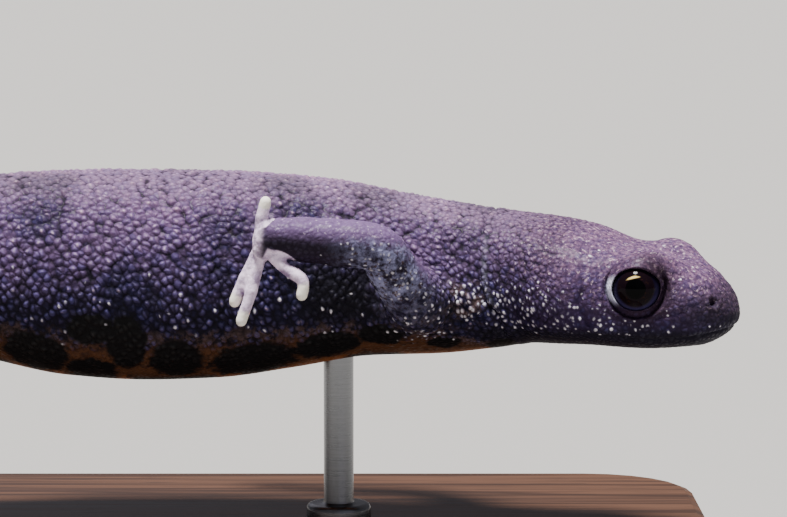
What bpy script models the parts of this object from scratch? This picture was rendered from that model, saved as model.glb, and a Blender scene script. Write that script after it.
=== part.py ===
"""Italian crested newt, a female gliding under water, life size, on a plain display stand.

Lengths are in millimetres and become metres when a mesh is made. +X is forward, +Y is the newt's
left and +Z is up. The origin is the centre of the stand's underside. Along the body, s is the
distance from the snout tip, measured backwards along the spine, and a turn is the angle round a
section: 0 at the left flank, 90 degrees at the back's ridge, 180 at the right flank.
"""

import math

import bmesh
import bpy
import numpy as np
from mathutils import Matrix, Vector

MM = 0.001
GAP = 0.3
RIGHT, LEFT = -1, 1
UP = Vector((0, 0, 1))

# Lengths along the body
LENGTH = 148.0
HEAD_END = 20.6
NECK_END = 23.2
CHEST_END = 34.5
TRUNK_END = 63.5
PELVIS_END = 80.0
TAIL_CUTS = (102.0, 125.0)
STANDING_S = 50.4

# The spine: its height above the floor, and the way it points, seen from above and from behind
AXIS_HEIGHT = (
    (0, 25.3), (10, 25.15), (20, 24.95), (46, 25.0), (64, 25.1), (90, 25.3), (120, 24.9), (148, 25.4),
)
YAW_DEG = (
    (0, -24.5), (11, -24.5), (17, -18), (24, -10), (36, -2), (50, 0), (66, 2), (80, 6), (98, 13), (118, 1),
    (136, -14), (148, -20),
)
LEAN_DEG = ((0, 4), (14, 4), (32, 0), (148, 0))

# The sections: half the width, and the back and belly lines above and below the spine
HALF_WIDTH = (
    (0, 3.2), (1.2, 3.4), (3, 4.0), (6, 4.9), (10, 5.8), (14, 6.2), (17.5, 6.0), (21, 5.8), (24, 5.95),
    (29, 6.6), (36, 7.7), (46, 8.5), (54, 8.3), (61, 7.2), (67, 5.9), (73, 4.7), (78, 3.9), (84, 3.1),
    (95, 2.3), (110, 1.65), (125, 1.15), (138, 0.75), (148, 0.35),
)
BACK_LINE = (
    (0, -0.4), (1.1, 0.3), (2.2, 1.05), (3.5, 1.7), (5, 2.1), (7, 2.6), (9, 3.15), (12, 4.3), (15.4, 4.95),
    (21, 5.6), (27, 6.5), (33, 7.6), (41, 8.2), (50, 8.3), (58, 8.0), (66, 6.8), (74, 5.2), (80, 4.2),
    (95, 3.1), (110, 2.4), (125, 1.7), (138, 1.0), (148, 0.4),
)
BELLY_LINE = (
    (0, -4.0), (1.3, -4.35), (3, -4.7), (7, -5.0), (12, -4.85), (16, -4.85), (19.5, -5.4), (24, -6.0),
    (30, -6.3), (36, -7.3), (42, -8.15), (48, -8.35), (54, -8.0), (60, -6.8), (66, -5.3), (72, -4.6),
    (80, -3.7), (95, -2.6), (110, -2.0), (125, -1.4), (138, -0.85), (148, -0.35),
)
SQUARENESS = ((0, 2.3), (6, 2.5), (14, 2.35), (24, 2.15), (80, 2.1), (148, 2.0))
SNOUT_TIP_HEIGHT = -2.2
SNOUT_ROUNDING = 2.6
WIDEST_LEVEL = 0.46

# Swellings of the skin over what lies under it: s, sideways, height, reach along, reach round, rise
SWELLINGS = {
    "brow": (5.6, 3.4, 2.2, 2.0, 1.6, 0.8),
    "crown hollow": (6.2, 0.0, 2.5, 3.0, 1.5, -0.25),
    "cheek": (13.2, 6.3, -1.2, 2.8, 2.6, 0.35),
    "snout side": (3.2, 3.9, -1.2, 1.5, 1.3, 0.15),
    "jaw corner notch": (16.6, 6.4, -2.6, 1.1, 2.4, -0.35),
    "shoulder": (26.0, 6.0, -2.4, 3.4, 2.6, 0.75),
    "breast fold": (21.9, 5.6, -1.9, 1.4, 1.9, 0.35),
    "hip": (69.5, 5.2, -1.0, 3.6, 2.4, 0.5),
    "vent": (76.2, 0.0, -4.2, 3.0, 2.4, 1.1),
}

# Mouth, in the head's own frame: (s, height) from the front of the lips to the corner of the mouth
MOUTH_LINE = ((-2.0, -3.2), (0.8, -3.3), (3.0, -3.65), (6.0, -3.75), (9.0, -3.4), (11.2, -3.1))
LIP_RISE, LIP_REACH, LIP_ABOVE = 0.2, 0.42, 0.5
BELOW_HEAD, JAW_SLOPE = -9.0, 0.9
HEAD_HALF_SPAN = 12.0

# Eyes and nostrils, in the head's own frame
EYE_S, EYE_SIDE, EYE_HEIGHT = 6.8, 3.7, 0.2
EYE_RADIUS = 2.05
CORNEA_RISE = 0.12
LID_RADIUS = 2.6
LID_DEPTH = 0.95
GAZE = (-0.3, 0.945, 0.12)
LID_FACING = (-0.24, 0.97, 0.0)
NOSTRIL_S, NOSTRIL_SIDE, NOSTRIL_HEIGHT = 1.25, 2.3, -1.05
NOSTRIL_RADIUS, NOSTRIL_DEPTH = 0.36, 0.55
NOSTRIL_FACING = (-0.5, 0.8, 0.1)

# Legs: where each leaves the body, then its joints as steps (back, out, up) from one to the next
FORELEG_S, FORELEG_TURN = 25.0, -5.0
HINDLEG_S, HINDLEG_TURN = 69.6, -14.0
ROOT_DEPTH = 3.0
ROOT_BEND_SHARE, ROOT_BEND_DEPTH = 0.55, 0.35
SHANK_ARCH = 0.1
FORELEG_STEPS = {
    RIGHT: ((3.3, 3.6, 4.5), (7.6, 0.0, 0.85)),
    LEFT: ((4.4, 4.6, 1.4), (7.0, 1.6, -0.8)),
}
HINDLEG_STEPS = {
    RIGHT: ((5.4, 5.6, -0.6), (7.2, -1.2, -0.9)),
    LEFT: ((4.6, 6.0, 0.4), (7.4, 0.2, -1.4)),
}
FORELEG_RADII = ((0, 2.6), (0.17, 2.4), (0.36, 2.05), (0.57, 1.8), (0.76, 1.8), (1, 1.55))
HINDLEG_RADII = ((0, 2.7), (0.2, 2.3), (0.48, 1.8), (0.7, 1.8), (1, 1.35))

# Hands and feet: the palm's half sizes, and each digit as steps (back, out, up) from the palm's centre
PALM_SIZE = (1.75, 1.45, 0.78)
SOLE_SIZE = (2.1, 1.75, 0.8)
RIGHT_PALM_STEP, PALM_TILT = (1.15, 0.0, -0.3), 0.1
DIGIT_RADIUS, DIGIT_TIP_RADIUS = 0.52, 0.43
RIGHT_HAND_DIGITS = (
    ((0.1, 0.2, 1.5), (-0.4, 0.4, 3.55)),
    ((-1.75, 0.9, -1.95), (-3.15, 1.3, -2.9), (-2.95, 1.4, -4.5)),
    ((0.85, 0.5, -3.9), (1.7, 0.6, -6.5)),
    ((1.45, -0.2, -3.2), (2.35, -0.3, -5.1)),
)
LEFT_HAND_HEADING, LEFT_HAND_DROOP_DEG = (1.0, 0.3, -0.3), 55
FOOT_HEADING, FOOT_DROOP_DEG = (1.0, 0.25, -0.12), 25
PAW_START, PALM_ALONG, DIGIT_ROOT = 0.5, 0.85, 0.6
KNUCKLE_SHARE, KNUCKLE_RISE, TIP_DROP = 0.55, 0.12, 0.1
WRIST_NARROWING, WRIST_END_RADIUS = 0.92, 0.7
HAND_SPREAD_DEG = (-52, -14, 16, 50)
HAND_LENGTHS = (3.3, 5.0, 5.3, 3.7)
FOOT_SPREAD_DEG = (-56, -27, -3, 20, 48)
FOOT_LENGTHS = (3.4, 5.2, 6.3, 6.0, 3.9)

# The tail's skin fins: how far each stands out, and how thick it is
UPPER_FIN = (
    (76, 0.3), (83, 1.2), (94, 2.3), (108, 2.9), (122, 2.8), (135, 2.1), (144, 1.2), (148, 0.5),
)
LOWER_FIN = ((82, 0.3), (89, 1.3), (100, 2.0), (115, 2.3), (130, 1.9), (142, 1.1), (148, 0.45))
FIN_ROOT_THICKNESS, FIN_EDGE_THICKNESS = 0.8, 0.5

# Stand
BASE_LENGTH, BASE_WIDTH, BASE_THICKNESS = 96.0, 46.0, 5.0
BASE_CORNER, BASE_BEVEL = 9.0, 0.9
ROD_RADIUS, COLLAR_RADIUS, COLLAR_HEIGHT, COLLAR_BEVEL = 1.2, 2.6, 1.3, 0.5
ROD_STATIONS = {"stand_rod_front": 32.5, "stand_rod_rear": 64.0}

# Fineness of the solids
HEAD_SIDES, BODY_SIDES, TAIL_SIDES = 36, 28, 18
LEG_SIDES, DIGIT_SIDES = 10, 7
PALM_SIDES, PALM_LEVELS = 12, 8
EYE_SIDES, EYE_LEVELS = 20, 12
LID_SIDES, LID_LEVELS = 18, 9
PIT_SIDES, PIT_LEVELS = 9, 5
ROD_SIDES, CORNER_STEPS = 16, 6
HEAD_RINGS, SNOUT_CROWDING = 24, 1.45
FIN_STATIONS = 22
LEG_STEP, DIGIT_STEP = 1.0, 0.9
CUTTER_SIZE = 4.0
CUTTER_SPANS = {"fore": (14.0, 50.0), "hind": (56.0, 100.0), "rods": (24.0, 74.0)}
CUTTER_STEP = 2.0


def clear_scene():
    for old in list(bpy.data.objects):
        bpy.data.objects.remove(old)


def flow(knots, at):
    """The value at each place of a smooth curve through (place, value) knots, which never overshoots them."""
    place, value = np.array(knots, float).T
    step = np.diff(place)
    rise = np.diff(value) / step
    slope = np.zeros_like(value)
    slope[0], slope[-1] = rise[0], rise[-1]
    same = rise[:-1] * rise[1:] > 0
    slope[1:-1][same] = 2 * (rise[:-1] * rise[1:])[same] / (rise[:-1] + rise[1:])[same]
    at = np.asarray(at, float)
    i = np.clip(np.searchsorted(place, at) - 1, 0, len(step) - 1)
    t = (at - place[i]) / step[i]
    start = (1 + 2 * t) * (1 - t) ** 2 * value[i] + t * (1 - t) ** 2 * step[i] * slope[i]
    end = t * t * (3 - 2 * t) * value[i + 1] + t * t * (t - 1) * step[i] * slope[i + 1]
    return start + end


def trace_spine():
    """Points 0.25 mm apart along the spine, with its forward direction at each."""
    s = np.linspace(0, LENGTH, int(LENGTH * 4) + 1)
    yaw = np.radians(flow(YAW_DEG, s))
    height = flow(AXIS_HEIGHT, s)
    climb = np.gradient(height, s)
    level = np.sqrt(1 - climb**2)
    back = np.stack([-np.cos(yaw) * level, -np.sin(yaw) * level], 1)
    steps = (back[1:] + back[:-1]) / 2 * np.diff(s)[:, None]
    plan = np.vstack([[0, 0], np.cumsum(steps, 0)])
    plan -= [np.interp(STANDING_S, s, plan[:, k]) for k in range(2)]
    forward = np.column_stack([-back, -climb])
    return s, np.column_stack([plan, height]), forward


SPINE_S, SPINE_POINTS, SPINE_FORWARD = trace_spine()


def spine_frame(s):
    """The spine's point at each s, with the unit vectors forward, left and up there."""
    s = np.asarray(s, float)
    point = np.stack([np.interp(s, SPINE_S, SPINE_POINTS[:, k]) for k in range(3)], -1)
    forward = np.stack([np.interp(s, SPINE_S, SPINE_FORWARD[:, k]) for k in range(3)], -1)
    forward /= np.linalg.norm(forward, axis=-1, keepdims=True)
    left = np.cross([0, 0, 1], forward)
    left /= np.linalg.norm(left, axis=-1, keepdims=True)
    up = np.cross(forward, left)
    lean = np.radians(flow(LEAN_DEG, s))[..., None]
    leaning_left = left * np.cos(lean) + up * np.sin(lean)
    return point, forward, leaning_left, up * np.cos(lean) - left * np.sin(lean)


def signed_power(x, power):
    return np.sign(x) * np.abs(x) ** power


def section(s, turn):
    """Sideways and upward places round the section at s, and the outward direction there."""
    blunt = np.sqrt(1 - np.clip(1 - s / SNOUT_ROUNDING, 0, 1) ** 2)
    width = flow(HALF_WIDTH, s) * blunt
    top = SNOUT_TIP_HEIGHT + (flow(BACK_LINE, s) - SNOUT_TIP_HEIGHT) * blunt
    bottom = SNOUT_TIP_HEIGHT + (flow(BELLY_LINE, s) - SNOUT_TIP_HEIGHT) * blunt
    middle = bottom + (top - bottom) * WIDEST_LEVEL
    power = flow(SQUARENESS, s)
    cosine, sine = np.cos(turn), np.sin(turn)
    tall = np.where(sine > 0, top - middle, middle - bottom)
    side = width * signed_power(cosine, 2 / power)
    height = middle + tall * signed_power(sine, 2 / power)
    slope = 2 - 2 / power
    out = np.stack([signed_power(cosine, slope) / width, signed_power(sine, slope) / tall], -1)
    return side, height, out / np.linalg.norm(out, axis=-1, keepdims=True)


def rise_of_skin(s, side, height):
    """How far the swellings and the upper lip push the skin out."""
    rise = np.zeros_like(side)
    for at, across, up, along_reach, round_reach, most in SWELLINGS.values():
        near = (np.abs(side) - across) ** 2 + (height - up) ** 2
        rise += most * np.exp(-(((s - at) / along_reach) ** 2) - near / round_reach**2)
    lip_line = np.interp(s, *np.array(MOUTH_LINE).T) + LIP_ABOVE
    along_lip = np.clip((12.5 - s) / 3, 0, 1) * np.clip(s / 2, 0, 1)
    return rise + LIP_RISE * along_lip * np.exp(-(((height - lip_line) / LIP_REACH) ** 2))


def body_surface(s, turn, swell=0.0):
    """Points of the skin at s and turn, pushed out by swell."""
    s, turn = np.broadcast_arrays(np.asarray(s, float), np.asarray(turn, float))
    side, height, out = section(s, turn)
    push = rise_of_skin(s, side, height) + swell
    point, _, left, up = spine_frame(s)
    side, height = side + out[..., 0] * push, height + out[..., 1] * push
    return point + left * side[..., None] + up * height[..., None]


def head_matrix():
    """Carries (backwards, left, up) in the head's own frame into the model."""
    point, forward, left, up = spine_frame(0.0)
    turn = Matrix([(-forward[k], left[k], up[k]) for k in range(3)]).to_4x4()
    return Matrix.Translation(Vector(point)) @ turn


def add_object(name, vertices, faces, smooth=True):
    """A mesh object from points in millimetres."""
    mesh = bpy.data.meshes.new(name)
    mesh.from_pydata([Vector(v) * MM for v in vertices], [], faces)
    mesh.validate()
    obj = bpy.data.objects.new(name, mesh)
    bpy.context.scene.collection.objects.link(obj)
    shape = bmesh.new()
    shape.from_mesh(mesh)
    bmesh.ops.recalc_face_normals(shape, faces=shape.faces)
    if shape.calc_volume(signed=True) < 0:
        bmesh.ops.reverse_faces(shape, faces=shape.faces)
    shape.to_mesh(mesh)
    shape.free()
    if smooth:
        mesh.shade_smooth()
    return obj


def ring_faces(rings, sides):
    """Quads between rings of the same number of sides, with a flat cap at each end."""
    faces = [tuple(reversed(range(sides))), tuple((rings - 1) * sides + k for k in range(sides))]
    for r in range(rings - 1):
        for k in range(sides):
            n = (k + 1) % sides
            faces.append((r * sides + k, r * sides + n, (r + 1) * sides + n, (r + 1) * sides + k))
    return faces


def body_piece(name, stations, sides, swell=0.0):
    """A length of the body as one closed solid, with a flat face across each end."""
    turns = np.arange(sides) * 2 * math.pi / sides + math.pi / 2
    points = body_surface(np.array(stations)[:, None], turns[None, :], swell)
    return add_object(name, points.reshape(-1, 3), ring_faces(len(stations), sides))


def body_cutter(span):
    """A length of the body, a gap wider all round, that pieces fitted to the body are cut with."""
    start, end = CUTTER_SPANS[span]
    return body_piece("cutter", np.arange(start, end + CUTTER_STEP, CUTTER_STEP), BODY_SIDES * 2, GAP)


def stations_between(start, end, step):
    """Evenly spaced stations whose ends stop half a gap short of the cuts."""
    return np.linspace(start + GAP / 2, end - GAP / 2, max(2, round((end - start) / step) + 1))


def boolean(obj, other, operation, keep_other=False):
    """Adds other to obj or cuts it away, for good."""
    modifier = obj.modifiers.new(operation.lower(), "BOOLEAN")
    modifier.object = other
    modifier.operation = operation
    modifier.solver = "EXACT"
    graph = bpy.context.evaluated_depsgraph_get()
    mesh = bpy.data.meshes.new_from_object(obj.evaluated_get(graph))
    obj.modifiers.clear()
    obj.data = mesh
    if not keep_other:
        bpy.data.objects.remove(other)
    return obj


def keep_largest(obj):
    """Drops any loose scrap that a cut or a join has left."""
    shape = bmesh.new()
    shape.from_mesh(obj.data)
    left, pieces = set(shape.verts), []
    while left:
        found, reach = set(), [left.pop()]
        while reach:
            vert = reach.pop()
            found.add(vert)
            near = {edge.other_vert(vert) for edge in vert.link_edges} & left
            left -= near
            reach.extend(near)
        pieces.append(found)
    for piece in sorted(pieces, key=len)[:-1]:
        bmesh.ops.delete(shape, geom=list(piece), context="VERTS")
    shape.to_mesh(obj.data)
    shape.free()
    return obj


def lathe(name, profile, sides, place):
    """A solid turned about its z axis from (radius, height) points that start and end on it, then placed."""
    vertices = [Vector((0, 0, profile[0][1]))]
    for radius, height in profile[1:-1]:
        for k in range(sides):
            turn = 2 * math.pi * k / sides
            vertices.append(Vector((radius * math.cos(turn), radius * math.sin(turn), height)))
    vertices.append(Vector((0, 0, profile[-1][1])))
    rings, last = len(profile) - 2, len(vertices) - 1
    faces = [(0, 1 + k, 1 + (k + 1) % sides) for k in range(sides)]
    for r in range(rings - 1):
        for k in range(sides):
            a, b = 1 + r * sides + k, 1 + r * sides + (k + 1) % sides
            faces.append((a, b, b + sides, a + sides))
    faces += [(last, last - 1 - (k + 1) % sides, last - 1 - k) for k in range(sides)]
    return add_object(name, [place @ v for v in vertices], faces)


def facing(centre, direction):
    """A frame at centre whose z axis points along direction."""
    return Matrix.Translation(centre) @ Vector(direction).to_track_quat("Z", "Y").to_matrix().to_4x4()


def sphere_profile(radius, steps, highest=1.0):
    """(radius, height) points of a sphere from its lower pole, cut flat at highest times its radius."""
    top = math.asin(highest)
    angles = [-math.pi / 2 + (top + math.pi / 2) * k / steps for k in range(steps + 1)]
    points = [(radius * math.cos(a), radius * math.sin(a)) for a in angles]
    points[0] = (0.0, -radius)
    if highest < 1:
        return points + [(0.0, radius * highest)]
    points[-1] = (0.0, radius)
    return points


def smooth_path(knots, step):
    """Points about a step apart on a smooth curve through the knots."""
    knots = [Vector(k) for k in knots]
    ends = [knots[0] * 2 - knots[1]] + knots + [knots[-1] * 2 - knots[-2]]
    path = []
    for a, b, c, d in zip(ends, ends[1:], ends[2:], ends[3:]):
        parts = max(1, round((c - b).length / step))
        for k in range(parts):
            t = k / parts
            bend, twist = 2 * a - 5 * b + 4 * c - d, 3 * b - a - 3 * c + d
            path.append(0.5 * (2 * b + (c - a) * t + bend * t**2 + twist * t**3))
    return path + [knots[-1]]


def headings(path):
    """The direction of a path at each of its points."""
    last = len(path) - 1
    return [(path[min(i + 1, last)] - path[max(i - 1, 0)]).normalized() for i in range(last + 1)]


def tube(name, path, radii, sides, tangents=None, round_end=False):
    """A closed round tube along a path, with a flat start, and a flat or a rounded end."""
    path, radii, tangents = list(path), list(radii), list(tangents or headings(path))
    if round_end:
        tip, ahead, radius = path[-1], tangents[-1], radii[-1]
        for angle in (math.radians(40), math.radians(72)):
            path.append(tip + ahead * radius * math.sin(angle))
            radii.append(radius * math.cos(angle))
            tangents.append(ahead)
    across = tangents[0].orthogonal().normalized()
    vertices = []
    for centre, ahead, radius in zip(path, tangents, radii):
        across = (across - ahead * across.dot(ahead)).normalized()
        other = ahead.cross(across)
        for k in range(sides):
            turn = 2 * math.pi * k / sides
            vertices.append(centre + (across * math.cos(turn) + other * math.sin(turn)) * radius)
    return add_object(name, vertices, ring_faces(len(path), sides))


def ellipsoid(name, centre, axes, sides, levels):
    """A closed ellipsoid with these three half axes, as vectors."""
    frame = Matrix([(axes[0][k], axes[1][k], axes[2][k]) for k in range(3)]).to_4x4()
    return lathe(name, sphere_profile(1.0, levels), sides, Matrix.Translation(centre) @ frame)


def paint(obj, material):
    obj.data.materials.clear()
    obj.data.materials.append(material)


def make_material(name, colour, roughness, metallic=0.0):
    material = bpy.data.materials.new(name)
    material.use_nodes = True
    shader = material.node_tree.nodes["Principled BSDF"]
    shader.inputs["Base Color"].default_value = (*colour, 1)
    shader.inputs["Roughness"].default_value = roughness
    shader.inputs["Metallic"].default_value = metallic
    material.diffuse_color = (*colour, 1)
    return material


def block(name, side_outline, half_span, place):
    """A solid whose side view is the outline of (back, up) points, as wide as the span, then placed."""
    vertices = [place @ Vector((b, side, u)) for side in (-half_span, half_span) for b, u in side_outline]
    count = len(side_outline)
    faces = [tuple(range(count)), tuple(reversed(range(count, 2 * count)))]
    faces += [(k, (k + 1) % count, (k + 1) % count + count, k + count) for k in range(count)]
    return add_object(name, vertices, faces)


def jaw_outline(margin):
    """The side view of the space under the mouth line, grown upwards and backwards by a margin."""
    line = [(s, height + margin) for s, height in MOUTH_LINE[:-1]]
    corner_s, corner_height = MOUTH_LINE[-1]
    corner_s += margin
    jaw_back = (corner_s + JAW_SLOPE, BELOW_HEAD)
    below = [(corner_s, corner_height + margin), jaw_back, (MOUTH_LINE[0][0], BELOW_HEAD)]
    return line + below


def eye_place(side, direction):
    centre = Vector((EYE_S, side * EYE_SIDE, EYE_HEIGHT))
    return head_matrix() @ facing(centre, (direction[0], side * direction[1], direction[2]))


def make_head():
    """The head with its lids, nostrils and mouth, and the lower jaw that the mouth line parts from it."""
    stations = (HEAD_END - GAP / 2) * (np.arange(1, HEAD_RINGS + 1) / HEAD_RINGS) ** SNOUT_CROWDING
    head = body_piece("head", stations, HEAD_SIDES)
    for side in (RIGHT, LEFT):
        lids = sphere_profile(LID_RADIUS, LID_LEVELS, LID_DEPTH / LID_RADIUS)
        boolean(head, lathe("mound", lids, LID_SIDES, eye_place(side, LID_FACING)), "UNION")
        round_eye = sphere_profile(EYE_RADIUS + GAP, LID_LEVELS)
        boolean(head, lathe("socket", round_eye, LID_SIDES, eye_place(side, GAZE)), "DIFFERENCE")
        back, out, up = NOSTRIL_FACING
        nostril = facing(Vector((NOSTRIL_S, side * NOSTRIL_SIDE, NOSTRIL_HEIGHT)), (back, side * out, up))
        place = head_matrix() @ nostril @ Matrix.Diagonal((1, 1, NOSTRIL_DEPTH / NOSTRIL_RADIUS, 1))
        pit = lathe("pit", sphere_profile(NOSTRIL_RADIUS, PIT_LEVELS), PIT_SIDES, place)
        boolean(head, pit, "DIFFERENCE")
    jaw = bpy.data.objects.new("lower_jaw", head.data.copy())
    bpy.context.scene.collection.objects.link(jaw)
    boolean(jaw, block("under_mouth", jaw_outline(0.0), HEAD_HALF_SPAN, head_matrix()), "INTERSECT")
    boolean(head, block("mouth_gap", jaw_outline(GAP), HEAD_HALF_SPAN, head_matrix()), "DIFFERENCE")
    return [keep_largest(head), keep_largest(jaw)]


def make_eye(name, side):
    """An eyeball with the cornea standing a little proud."""
    profile = []
    for radius, height in sphere_profile(EYE_RADIUS, EYE_LEVELS):
        bulge = CORNEA_RISE * max(0.0, height / EYE_RADIUS) ** 4
        profile.append((radius, height + bulge))
    return lathe(name, profile, EYE_SIDES, eye_place(side, GAZE))


def make_body():
    """Neck, chest, trunk, pelvis and the three lengths of the tail."""
    pieces = []
    for name, start, end, step, sides in (
        ("neck", HEAD_END, NECK_END, 1.3, BODY_SIDES),
        ("chest", NECK_END, CHEST_END, 2.2, BODY_SIDES),
        ("trunk", CHEST_END, TRUNK_END, 3.6, BODY_SIDES),
        ("pelvis", TRUNK_END, PELVIS_END, 2.3, BODY_SIDES),
        ("tail_base", PELVIS_END, TAIL_CUTS[0], 3.6, TAIL_SIDES),
        ("tail_middle", TAIL_CUTS[0], TAIL_CUTS[1], 3.8, TAIL_SIDES),
        ("tail_end", TAIL_CUTS[1], LENGTH, 3.8, TAIL_SIDES),
    ):
        pieces.append(body_piece(name, stations_between(start, end, step), sides))
    return pieces


def make_fin(name, knots, line, direction):
    """A skin fin along the tail's midline, its two faces split alike into triangles."""
    count = FIN_STATIONS
    s = np.linspace(knots[0][0], knots[-1][0] - GAP, count)
    root = flow(line, s) + direction * GAP
    point, _, left, up = spine_frame(s)
    columns = []
    for share in (0.0, 0.5, 1.0):
        height = root + direction * share * flow(knots, s)
        thick = FIN_ROOT_THICKNESS + (FIN_EDGE_THICKNESS - FIN_ROOT_THICKNESS) * share
        for side in (-1, 1):
            columns.append(point + left * side * thick / 2 + up * height[:, None])
    right_low, left_low, right_mid, left_mid, right_top, left_top = range(6)
    loop = (right_low, right_mid, right_top, left_top, left_mid, left_low)
    index = np.arange(6 * count).reshape(6, count)
    faces = []
    for a, b in zip(loop, loop[1:] + loop[:1]):
        for i in range(count - 1):
            corners = (index[a][i], index[b][i], index[b][i + 1], index[a][i + 1])
            if a in (right_low, right_mid):
                faces += [(corners[0], corners[1], corners[2]), (corners[0], corners[2], corners[3])]
            else:
                faces += [(corners[1], corners[0], corners[3]), (corners[1], corners[3], corners[2])]
    for end, order in ((0, loop), (count - 1, loop[::-1])):
        faces.append([index[k][end] for k in order])
    return add_object(name, np.concatenate(columns), [[int(k) for k in face] for face in faces])


def step_vector(step, side):
    """A step (back, out, up) on one side of the body as a vector."""
    back, out, up = step
    return Vector((-back, side * out, up))


def leg_path(s, turn_deg, steps, side):
    """The middle of a leg, from inside the body to the wrist or ankle, with the length to each joint."""
    turn = math.radians(turn_deg if side == LEFT else 180 - turn_deg)
    root = Vector(body_surface(s, turn))
    point, _, _, _ = spine_frame(s)
    inward = (Vector(point) - root).normalized()
    joint = root + step_vector(steps[0], side)
    end = joint + step_vector(steps[1], side)
    bend = root.lerp(joint, ROOT_BEND_SHARE) - inward * ROOT_BEND_DEPTH
    shank = joint.lerp(end, 0.5) + UP * SHANK_ARCH
    knots = [root + inward * ROOT_DEPTH, root, bend, joint, shank, end]
    return smooth_path(knots, LEG_STEP), joint


def path_lengths(path):
    """The length along the path at each of its points."""
    return np.cumsum([0.0] + [(b - a).length for a, b in zip(path, path[1:])])


def cut_path(path, start, end):
    """The stretch of a path between two lengths along it: its points, headings and shares of the whole."""
    lengths = path_lengths(path)
    at = [start] + [x for x in lengths if start + 0.3 < x < end - 0.3] + [end]
    points, ahead = (
        [Vector([np.interp(x, lengths, [p[k] for p in values]) for k in range(3)]) for x in at]
        for values in (path, headings(path))
    )
    return points, [d.normalized() for d in ahead], [x / lengths[-1] for x in at]


def make_leg(names, s, turn_deg, steps, radii, side, body_cutter):
    """The upper and lower lengths of a leg, the upper one fitted to the body, and the end of its path."""
    path, joint = leg_path(s, turn_deg, steps, side)
    lengths = path_lengths(path)
    bend = lengths[min(range(len(path)), key=lambda i: (path[i] - joint).length)]
    pieces = []
    for name, start, end in ((names[0], 0.0, bend), (names[1], bend, lengths[-1])):
        points, ahead, shares = cut_path(path, start, end)
        if start > 0:
            points[0] = points[0] + ahead[0] * GAP / 2
        else:
            points[-1] = points[-1] - ahead[-1] * GAP / 2
        pieces.append(tube(name, points, flow(radii, shares), LEG_SIDES, ahead))
    boolean(pieces[0], body_cutter, "DIFFERENCE", keep_other=True)
    keep_largest(pieces[0])
    return pieces, path[-1], headings(path)[-1]


def make_paw(name, wrist, ahead, centre, axes, digits, start_radius):
    """A hand or foot: a palm on a short stub, with its digits fused to it."""
    stub_start = wrist + ahead * GAP * 0.5
    stub = [stub_start, stub_start.lerp(centre, 0.5), centre]
    paw = tube(name, stub, [start_radius, start_radius * WRIST_NARROWING, WRIST_END_RADIUS], LEG_SIDES)
    boolean(paw, ellipsoid("palm", centre, axes, PALM_SIDES, PALM_LEVELS), "UNION")
    for knots in digits:
        path = smooth_path([centre] + knots, DIGIT_STEP)
        shares = np.linspace(0, 1, len(path))
        radii = DIGIT_RADIUS + (DIGIT_TIP_RADIUS - DIGIT_RADIUS) * shares
        path[-1] = path[-1] + (path[-2] - path[-1]).normalized() * DIGIT_TIP_RADIUS
        boolean(paw, tube("digit", path, radii, DIGIT_SIDES, round_end=True), "UNION")
    behind = facing(wrist + ahead * GAP, -ahead)
    disc = [(0, 0), (CUTTER_SIZE, 0), (CUTTER_SIZE, CUTTER_SIZE), (0, CUTTER_SIZE)]
    boolean(paw, lathe("behind_wrist", disc, PALM_SIDES, behind), "DIFFERENCE")
    return keep_largest(paw)


def spread_digits(centre, ahead, sideways, down, angles, lengths):
    """Digits that fan out from the palm and bend a little downwards at their tips."""
    digits = []
    for angle, length in zip(angles, lengths):
        turn = math.radians(angle)
        out = ahead * math.cos(turn) + sideways * math.sin(turn)
        knuckle = centre + (out * KNUCKLE_SHARE - down * KNUCKLE_RISE) * length
        digits.append([knuckle, centre + (out + down * TIP_DROP) * length])
    return digits


def make_right_hand(wrist, ahead):
    """The hand that the newt holds square to its forearm, the palm turned backwards."""
    centre = wrist + step_vector(RIGHT_PALM_STEP, RIGHT)
    along, across, through = Vector((PALM_TILT, 0, 1)), Vector((0, 1, 0)), Vector((1, 0, -PALM_TILT))
    axes = (along * PALM_SIZE[0], across * PALM_SIZE[1], through * PALM_SIZE[2])
    digits = [[centre + step_vector(step, RIGHT) for step in steps] for steps in RIGHT_HAND_DIGITS]
    return make_paw("hand_right", wrist, ahead, centre, axes, digits, FORELEG_RADII[-1][1])


def make_trailing_paw(name, wrist, ahead, side, heading, size, spread, lengths, start_radius, droop):
    """A hand or foot that trails behind the leg, its sole down and a little out."""
    onward = step_vector(heading, side).normalized()
    down = Matrix.Rotation(math.radians(droop * side), 3, onward) @ -UP
    sideways = onward.cross(down).normalized() * -side
    centre = wrist + ahead * PAW_START + onward * size[0] * PALM_ALONG
    axes = (onward * size[0], sideways * size[1], down * size[2])
    full_lengths = [length + size[0] * DIGIT_ROOT for length in lengths]
    digits = spread_digits(centre, onward, sideways, down, spread, full_lengths)
    return make_paw(name, wrist, ahead, centre, axes, digits, start_radius)


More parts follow.
